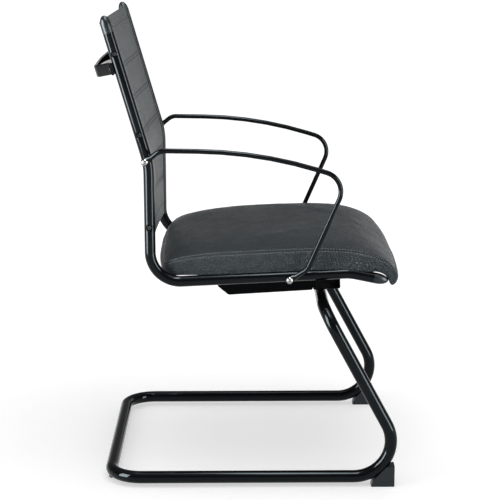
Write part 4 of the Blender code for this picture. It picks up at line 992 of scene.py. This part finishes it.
def groove_share(point):
    """How far a point of the slung back lies in a stitched row, from none to one."""
    share = abs(point.y) / (HEM_Y - HEM_DEPTH)
    if share >= 1.0:
        return 0.0
    back, down = panel_hang(point.z, share)
    lean = POST_LEAN if point.z > KINK_HEIGHT else 0.0
    height = point.z + down * math.cos(lean) + back * math.sin(lean)
    return min(1.0, stitched_dent(height) / CHANNEL_DEPTH)


def panel_swell(height):
    """The leather between two channels, faintly rounded."""
    share = (FIRST_SEAM_HEIGHT - height) / SEAM_SPACING
    return CHANNEL_SWELL * math.sin(math.pi * (share % 1.0)) ** CHANNEL_FULLNESS


def panel_point(height, step):
    """A point of the panel's closed outline: front, hem, rear and the other hem."""
    depth, y, share, front = PANEL_OUTLINE[step]
    edge = eased((1.0 - abs(share)) / RELIEF_EASE)
    ends = min(1.0, min(PANEL_TOP - height, height - PANEL_BOTTOM) / PANEL_END_ROUND)
    rounded = PANEL_THICKNESS / 2 * (1.0 - math.sqrt(1.0 - (1.0 - ends) ** 2))
    relief = edge * (panel_swell(height) - stitched_dent(height)) - rounded
    return panel_place(height, depth + front * relief, y, share)


def panel_outline():
    """Depth, width, share of the width and facing of each point round the panel's section."""
    inner = HEM_Y - HEM_DEPTH
    flange = HEM_HALF_WIDTH - HEM_SKIN
    slot = HEM_Y - STILE_THICKNESS - GAP
    count = PANEL_COLUMNS
    front = [(PANEL_FRONT_OFFSET, inner * k / count, k / count, 1.0)
             for k in range(-count, count + 1)]
    rear = [(PANEL_FRONT_OFFSET - PANEL_THICKNESS, y, share, -1.0) for _, y, share, _ in front[::-1]]
    hem = []
    for k in range(HEM_STEPS + 1):
        angle = math.pi / 2 * k / HEM_STEPS
        hem.append((HEM_HALF_WIDTH - HEM_ROUND * (1.0 - math.cos(angle)),
                    HEM_Y - HEM_ROUND * (1.0 - math.sin(angle)), 1.0, 0.0))
    rise = [(HEM_HALF_WIDTH - HEM_ROUND / 4, inner + HEM_ROUND / 2, 1.0, 0.0)]
    slot_ring = [(flange, HEM_Y, 1.0, 0.0), (flange, slot, 1.0, 0.0)]
    half = rise + hem + slot_ring
    half += [(-depth, y, share, front_way) for depth, y, share, front_way in half[::-1]]
    other = [(depth, -y, share, front_way) for depth, y, share, front_way in half[::-1]]
    return front + half + rear + other


def panel_stations():
    """Heights of the panel's rows, close together where it is stitched."""
    heights = {PANEL_BOTTOM, PANEL_TOP}
    rows = panel_seams() + hem_heights()
    for row in rows:
        heights.update(row + CHANNEL_SPREAD / 2 * k
                       for k in range(-STITCHED_STATIONS, STITCHED_STATIONS + 1))
    for k in range(PANEL_ROWS + 1):
        height = PANEL_BOTTOM + (PANEL_TOP - PANEL_BOTTOM) * k / PANEL_ROWS
        if min(abs(height - row) for row in rows) > STATION_CLEARANCE:
            heights.add(height)
    for k in range(1, END_STATIONS):
        heights.add(PANEL_BOTTOM + PANEL_END_ROUND * k / END_STATIONS)
        heights.add(PANEL_TOP - PANEL_END_ROUND * k / END_STATIONS)
    return sorted(heights)


def make_back():
    """The slung leather with its sewn channels, folded round both stiles."""
    stations = panel_stations()
    count = len(PANEL_OUTLINE)
    shape = bmesh.new()
    made = bmesh.ops.create_grid(shape, x_segments=count, y_segments=len(stations) - 1, size=1.0)
    for vert in made["verts"]:
        step = round((vert.co.x + 1.0) / 2 * count) % count
        row = round((vert.co.y + 1.0) / 2 * (len(stations) - 1))
        vert.co = panel_point(stations[row], step)
    close_up(shape)
    bmesh.ops.triangulate(shape, faces=[face for face in shape.faces if len(face.verts) > 4])
    piece = new_piece("back_leather", shape, BACK_LEATHER, "back_panel")
    mark_grooves(piece, [groove_share(vert.co) for vert in piece.data.vertices])
    return piece


def make_back_stitches(back):
    """The sewn rows of the back, on its front and on its rear."""
    reach = HEM_Y - HEM_DEPTH - SEAM_WIDTH
    count = int(2 * reach / STITCH_PITCH) + 1
    lines = []
    for height in sewn_heights():
        for depth in (PANEL_FRONT_OFFSET, PANEL_FRONT_OFFSET - PANEL_THICKNESS):
            places = [-reach + k * STITCH_PITCH for k in range(count)]
            lines.append([panel_place(height, depth, y, abs(y) / (HEM_Y - HEM_DEPTH))
                          for y in places])
    make_stitches("back_stitches", lines, back)


def surface_tree(piece):
    shape = bmesh.new()
    shape.from_mesh(piece.data)
    tree = BVHTree.FromBMesh(shape)
    shape.free()
    return tree


def make_stitches(name, lines, piece):
    """Short beads of thread laid along lines on a piece, one for every stitch."""
    ground = surface_tree(piece)
    every = bmesh.new()
    for line in lines:
        row = bmesh.new()
        for before, after in zip(line, line[1:]):
            along = after - before
            if along.length < STITCH_LENGTH / 3:
                continue
            place, normal, _, _ = ground.find_nearest((before + after) / 2)
            side = normal.cross(along.normalized()).normalized()
            heading = side.cross(normal)
            bead = bmesh.ops.create_icosphere(row, subdivisions=1, radius=1.0)["verts"]
            turn = Matrix((heading, side, normal)).transposed().to_4x4()
            size = Matrix.Diagonal((STITCH_LENGTH / 2, STITCH_RADIUS, STITCH_RADIUS, 1.0))
            bmesh.ops.transform(row, verts=bead, matrix=Matrix.Translation(place) @ turn @ size)
        sewn = as_mesh("sewn_row", row)
        every.from_mesh(sewn)
        bpy.data.meshes.remove(sewn)
    new_piece(name, every, THREAD)


# Seat cushion
def corner_pull(i, share):
    """How far a row is drawn in towards the middle of the seat at its corners."""
    rear = max(0.0, 1.0 - i / 2) * REAR_CORNER_PULL * abs(share) ** CORNER_POWER
    front = i == len(ROW_X_SHARES) - 1
    return rear - front * FRONT_CORNER_PULL * abs(share) ** CORNER_POWER


def cushion_cell(i, share):
    """Top and bottom points of the cage at one row and one share of its width."""
    length = CUSHION_FRONT_X - CUSHION_REAR_X
    half = CUSHION_HALF_WIDTH * ROW_WIDTH_SHARES[i]
    pull = corner_pull(i, share)
    crest = CUSHION_CROWN * ROW_CREST_SHARES[i]
    seam = min(crest, CUSHION_SEAM * ROW_SEAM_SHARES[i])
    lift = SEAT_LIFT * FLOOR_LIFT_SHARES[i] - CUSHION_TIP_DROP * FLOOR_DROP_SHARES[i]
    top = Vector((CUSHION_REAR_X + length * ROW_X_SHARES[i] + pull, share * half,
                  crest - (crest - seam) * abs(share) ** ROW_EDGE_POWERS[i]))
    bottom = Vector((CUSHION_REAR_X + length * FLOOR_X_SHARES[i] + pull,
                     share * (half - CUSHION_SIDE_SWELL), lift))
    if abs(share) == 1.0:
        past_nose = max(0.0, bottom.x - RAIL_NOSE_X)
        skirt = SKIRT_HEIGHTS[min(i, len(SKIRT_HEIGHTS) - 1)]
        skirt -= past_nose * math.tan(RAIL_NOSE_DROP + SEAT_TILT)
        bottom.z = min(bottom.z, skirt)
    return top, bottom


def cushion_rim(i, share, upper, lower):
    """The outermost point between a top and a bottom point on the cushion's edge."""
    point = (upper + lower) / 2
    if abs(share) == 1.0:
        point.y += math.copysign(CUSHION_SIDE_SWELL, share)
    if i == 0:
        point.x = CUSHION_REAR_X - CUSHION_END_SWELL + corner_pull(i, share)
    if i == len(ROW_X_SHARES) - 1:
        point.x = CUSHION_FRONT_X + CUSHION_END_SWELL + corner_pull(i, share)
    return point


def place_key(point):
    return tuple(round(part, 6) for part in point)


def make_cage():
    """Two grids, top and floor, joined by a wall; with the points of the floor and the seam."""
    rows = len(ROW_X_SHARES) - 1
    columns = len(COLUMN_SHARES) - 1
    shape = bmesh.new()
    cells = {}
    floor_keys = set()
    for layer in range(2):
        made = bmesh.ops.create_grid(shape, x_segments=rows, y_segments=columns, size=1.0)["verts"]
        for vert in made:
            i = round((vert.co.x + 1.0) / 2 * rows)
            share = COLUMN_SHARES[round((vert.co.y + 1.0) / 2 * columns)]
            vert.co = cushion_cell(i, share)[layer]
            cells[place_key(vert.co)] = (i, share)
            if layer:
                floor_keys.add(place_key(vert.co))
    rims = [edge for edge in shape.edges if edge.is_boundary]
    upright = bmesh.ops.bridge_loops(shape, edges=rims)["edges"]
    halved = bmesh.ops.subdivide_edges(shape, edges=upright, cuts=1)["geom_inner"]
    ring = [item for item in halved if isinstance(item, bmesh.types.BMVert)]
    shape.verts.index_update()
    beside = {vert.index for vert in ring}
    floor = {vert.index for vert in shape.verts if place_key(vert.co) in floor_keys}
    seam = set()
    for vert in ring:
        ends = [edge.other_vert(vert) for edge in vert.link_edges]
        ends = [end for end in ends if end.index not in beside]
        seam.update(end.index for end in ends if end.index not in floor)
        i, share = cells[place_key(ends[0].co)]
        vert.co = cushion_rim(i, share, *cushion_cell(i, share))
    firm = shape.edges.layers.float.new("crease_edge")
    for edge in shape.edges:
        ends = {vert.index for vert in edge.verts}
        walls = [face for face in edge.link_faces
                 if any(vert.index in beside for vert in face.verts)]
        if len(walls) == 1 and ends <= floor:
            middle = (edge.verts[0].co + edge.verts[1].co) / 2
            edge[firm] = FLOOR_CREASE if middle.x < LIP_START else 0.0
        elif len(walls) == 1 and ends <= seam:
            edge[firm] = SEAM_CREASE
    bmesh.ops.recalc_face_normals(shape, faces=shape.faces)
    return as_mesh("seat_leather", shape), sorted(floor), sorted(seam)


def apply_modifiers(piece):
    graph = bpy.context.evaluated_depsgraph_get()
    mesh = bpy.data.meshes.new_from_object(piece.evaluated_get(graph))
    piece.modifiers.clear()
    piece.data = mesh


def subdivide(piece, levels):
    smooth = piece.modifiers.new("smooth", "SUBSURF")
    smooth.levels = levels
    smooth.render_levels = levels
    apply_modifiers(piece)


def group_weights(piece, name):
    index = piece.vertex_groups[name].index
    weights = []
    for vert in piece.data.vertices:
        found = [entry.weight for entry in vert.groups if entry.group == index]
        weights.append(found[0] if found else 0.0)
    return weights


def puff(piece):
    """Leather drawn over its filling: a short pressure run, held at the seam and underneath."""
    before = [vert.co.copy() for vert in piece.data.vertices]
    cloth = piece.modifiers.new("filling", "CLOTH")
    cloth.settings.use_pressure = True
    cloth.settings.uniform_pressure_force = CUSHION_PRESSURE
    cloth.settings.effector_weights.gravity = 0.0
    cloth.settings.vertex_group_mass = "held"
    cloth.settings.tension_stiffness = CUSHION_STIFFNESS
    cloth.settings.compression_stiffness = CUSHION_STIFFNESS
    cloth.settings.bending_stiffness = CUSHION_BENDING
    cloth.point_cache.frame_start = 1
    cloth.point_cache.frame_end = CUSHION_FRAMES
    for step in range(1, CUSHION_FRAMES + 1):
        bpy.context.scene.frame_set(step)
    apply_modifiers(piece)
    bpy.context.scene.frame_set(1)
    for vert, start in zip(piece.data.vertices, before):
        move = vert.co - start
        if move.length > MERGE_DISTANCE:
            vert.co = start + move * (math.tanh(move.length / CUSHION_CAP) * CUSHION_CAP
                                      / move.length)
    soften(piece)


def soften(piece):
    """Eases the folds that the run leaves, away from the held seam and rim."""
    held = group_weights(piece, "held")
    shape = bmesh.new()
    shape.from_mesh(piece.data)
    shape.verts.ensure_lookup_table()
    free = [vert for vert in shape.verts if held[vert.index] < HELD_WEIGHT]
    for _ in range(SOFTENING_PASSES):
        bmesh.ops.smooth_vert(shape, verts=free, factor=0.5, use_axis_x=True, use_axis_y=True,
                              use_axis_z=True)
    shape.to_mesh(piece.data)
    shape.free()


def seam_line(piece):
    """The stitched seam round the cushion, as points in order."""
    weights = group_weights(piece, "seam")
    on_seam = {k for k, weight in enumerate(weights) if weight > ON_SEAM_WEIGHT}
    beside = {k: [] for k in on_seam}
    for edge in piece.data.edges:
        first, second = edge.vertices
        if first in on_seam and second in on_seam:
            beside[first].append(second)
            beside[second].append(first)
    start = min(on_seam)
    chain = [start]
    last = None
    while True:
        ahead = [k for k in beside[chain[-1]] if k != last and (k == start or k not in chain[-3:])]
        if not ahead or ahead[0] == start:
            break
        last = chain[-1]
        chain.append(ahead[0])
    return [piece.data.vertices[k].co.copy() for k in chain + [start]]


def evenly(points, pitch):
    """Points at one pitch along a line of points."""
    line = [points[0].copy()]
    left = pitch
    for before, after in zip(points, points[1:]):
        length = (after - before).length
        done = 0.0
        while length - done >= left:
            done += left
            line.append(before.lerp(after, done / length))
            left = pitch
        left -= length - done
    return line


def corner_seams():
    """The short upright seams where the side boxing meets the rear band."""
    return [[Vector((x, side * CUSHION_HALF_WIDTH, z)) for x, z in REAR_SEAM] for side in (-1, 1)]


def nearest_tree(points):
    tree = KDTree(len(points))
    for k, point in enumerate(points):
        tree.insert(point, k)
    tree.balance()
    return tree


def press_lines(piece, lines, depth, width):
    """Sinks the surface along lines, as thread pulls leather in."""
    tree = nearest_tree([point for line in lines for point in evenly(line, width / 3)])
    normals = [vert.normal.copy() for vert in piece.data.vertices]
    shares = []
    for vert, normal in zip(piece.data.vertices, normals):
        _, _, away = tree.find(vert.co)
        shares.append(math.exp(-(away / width) ** 2))
        vert.co -= normal * (depth * shares[-1])
    mark_grooves(piece, shares)


def mark_grooves(piece, shares):
    """Keeps how deep each point lies in a sewn groove, for painted shade and duller gloss in the
    grooves.
    """
    attribute = piece.data.attributes.new("groove_shade", "FLOAT", "POINT")
    attribute.data.foreach_set("value", shares)


def settle(piece):
    """The slow unevenness of filled leather, and the crease where a sitter's legs bend it."""
    crease = nearest_tree(evenly(crease_line(), SEAM_WIDTH))
    normals = [vert.normal.copy() for vert in piece.data.vertices]
    for vert, normal in zip(piece.data.vertices, normals):
        wave = wander.noise(vert.co * WAVE_SCALE) * WAVE_HEIGHT
        fine = wander.noise(vert.co * WRINKLE_SCALE) * WRINKLE_HEIGHT
        rise = 0.0
        if normal.z > 0.0:
            _, _, away = crease.find(vert.co)
            rise = CREASE_HEIGHT * math.exp(-(away / CREASE_WIDTH) ** 2)
        vert.co += normal * (wave + fine + rise)


def crease_line():
    """A shallow arc over the front of the seat, from one side over the middle to the other."""
    half = [Vector(point) for point in CREASE_POINTS]
    mirrored = [Vector((p.x, -p.y, p.z)) for p in half[-2::-1]]
    return half + mirrored


def make_cushion():
    """The upholstered seat: its cage, filled, settled, sewn and set in the rails' frame."""
    mesh, floor, seam = make_cage()
    piece = in_scene("seat_leather", mesh)
    piece.vertex_groups.new(name="seam").add(seam, 1.0, "REPLACE")
    piece.vertex_groups.new(name="held").add(floor + seam, 1.0, "REPLACE")
    subdivide(piece, 3)
    held = group_weights(piece, "held")
    for vert, hold in zip(piece.data.vertices, held):
        vert.co -= vert.normal * CUSHION_SHRINK * (1.0 - hold)
    puff(piece)
    subdivide(piece, 1)
    settle(piece)
    press_lines(piece, [seam_line(piece), *corner_seams()], SEAM_DEPTH, SEAM_WIDTH)
    line = seam_line(piece)
    piece.vertex_groups.clear()
    piece.data.transform(SEAT_FRAME)
    piece.data.shade_smooth()
    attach(piece, "root")
    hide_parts("seat_cushion")
    dress(piece, SEAT_LEATHER)
    rows = []
    for way in (1, -1):
        rows.append([SEAT_FRAME @ (point + Vector((0.0, 0.0, way * STITCH_OFFSET)))
                     for point in evenly(line, STITCH_PITCH)])
    make_stitches("seat_stitches", rows, piece)


make_studio()

# Finishes, each a material and its slot
PAINT = (coated("gloss_black", color=(0.0045, 0.0048, 0.0055), worn_color=(0.020, 0.020, 0.022),
                gloss=(0.05, 0.11), film_scale=900.0, film_depth=0.00002,
                wear=0.5, dust=0.05, specular=0.15), "gloss_black_paint")
SATIN = (coated("satin_black", color=(0.0035, 0.0035, 0.0038), worn_color=(0.016, 0.016, 0.017),
                gloss=(0.34, 0.50), film_scale=1500.0, film_depth=0.00006,
                wear=0.5, dust=0.05, specular=0.03), "satin_black_paint")
PLASTIC = (coated("moulded_plastic", color=(0.0080, 0.0080, 0.0088), worn_color=(0.020, 0.020, 0.021),
                  gloss=(0.28, 0.42), film_scale=1900.0, film_depth=0.00006,
                  wear=0.3, dust=0.08, specular=0.4), "black_plastic")
RUBBER = (coated("spacer_rubber", color=(0.010, 0.010, 0.010), worn_color=(0.030, 0.030, 0.029),
                 gloss=(0.62, 0.80), film_scale=1400.0, film_depth=0.00010,
                 wear=0.3, dust=0.12), "black_rubber")
CHROME = (coated("bolt_chrome", color=(0.36, 0.355, 0.345), worn_color=(0.22, 0.21, 0.20),
                 gloss=(0.16, 0.28), film_scale=700.0, film_depth=0.00001,
                 wear=0.4, dust=0.03, metallic=1.0), "bright_chrome")
STEEL = (coated("blackened_steel", color=(0.030, 0.030, 0.032), worn_color=(0.22, 0.22, 0.23),
                gloss=(0.26, 0.40), film_scale=1200.0, film_depth=0.00004,
                wear=0.6, dust=0.05, metallic=1.0), "black_steel")
SEAT_LEATHER = (leather_finish("seat_leather_grain", color=SEAT_COLOR, scale=200.0, depth=0.0012,
                               gloss=(0.30, 0.42), specular=0.24, sheen=0.02),
                "charcoal_leather")
# Painted light: the back's lighter colour stands in for the sheen its leather shows at a grazing view
BACK_LEATHER = (leather_finish("back_leather_lit_grain", color=BACK_LIT_COLOR, scale=340.0, depth=0.0008,
                               gloss=(0.38, 0.50), specular=0.40, sheen=0.22),
                "charcoal_leather")
THREAD = (thread_finish(), "charcoal_leather")
PLYWOOD = (plywood_finish(), "plywood")

# Nodes whose own solids stay in view, by the start of their names
KEPT = {"front_foot": PLASTIC, "cross_channel": SATIN, "mount_tray": SATIN, "seat_cross_bar": SATIN,
        "back_stile": SATIN, "seat_bolt": CHROME, "seat_spacer": RUBBER, "seat_board": PLYWOOD}
for name, node in NODES.items():
    for stem, (material, _) in KEPT.items():
        if name.startswith(stem):
            node.data.materials.clear()
            node.data.materials.append(material)

PANEL_OUTLINE = panel_outline()
for label, side in SIDES.items():
    make_side_frame(label, side)
    make_end_fittings(label, side)
    make_arm(label, side)
make_base()
make_brace()
make_back_stitches(make_back())
make_cushion()
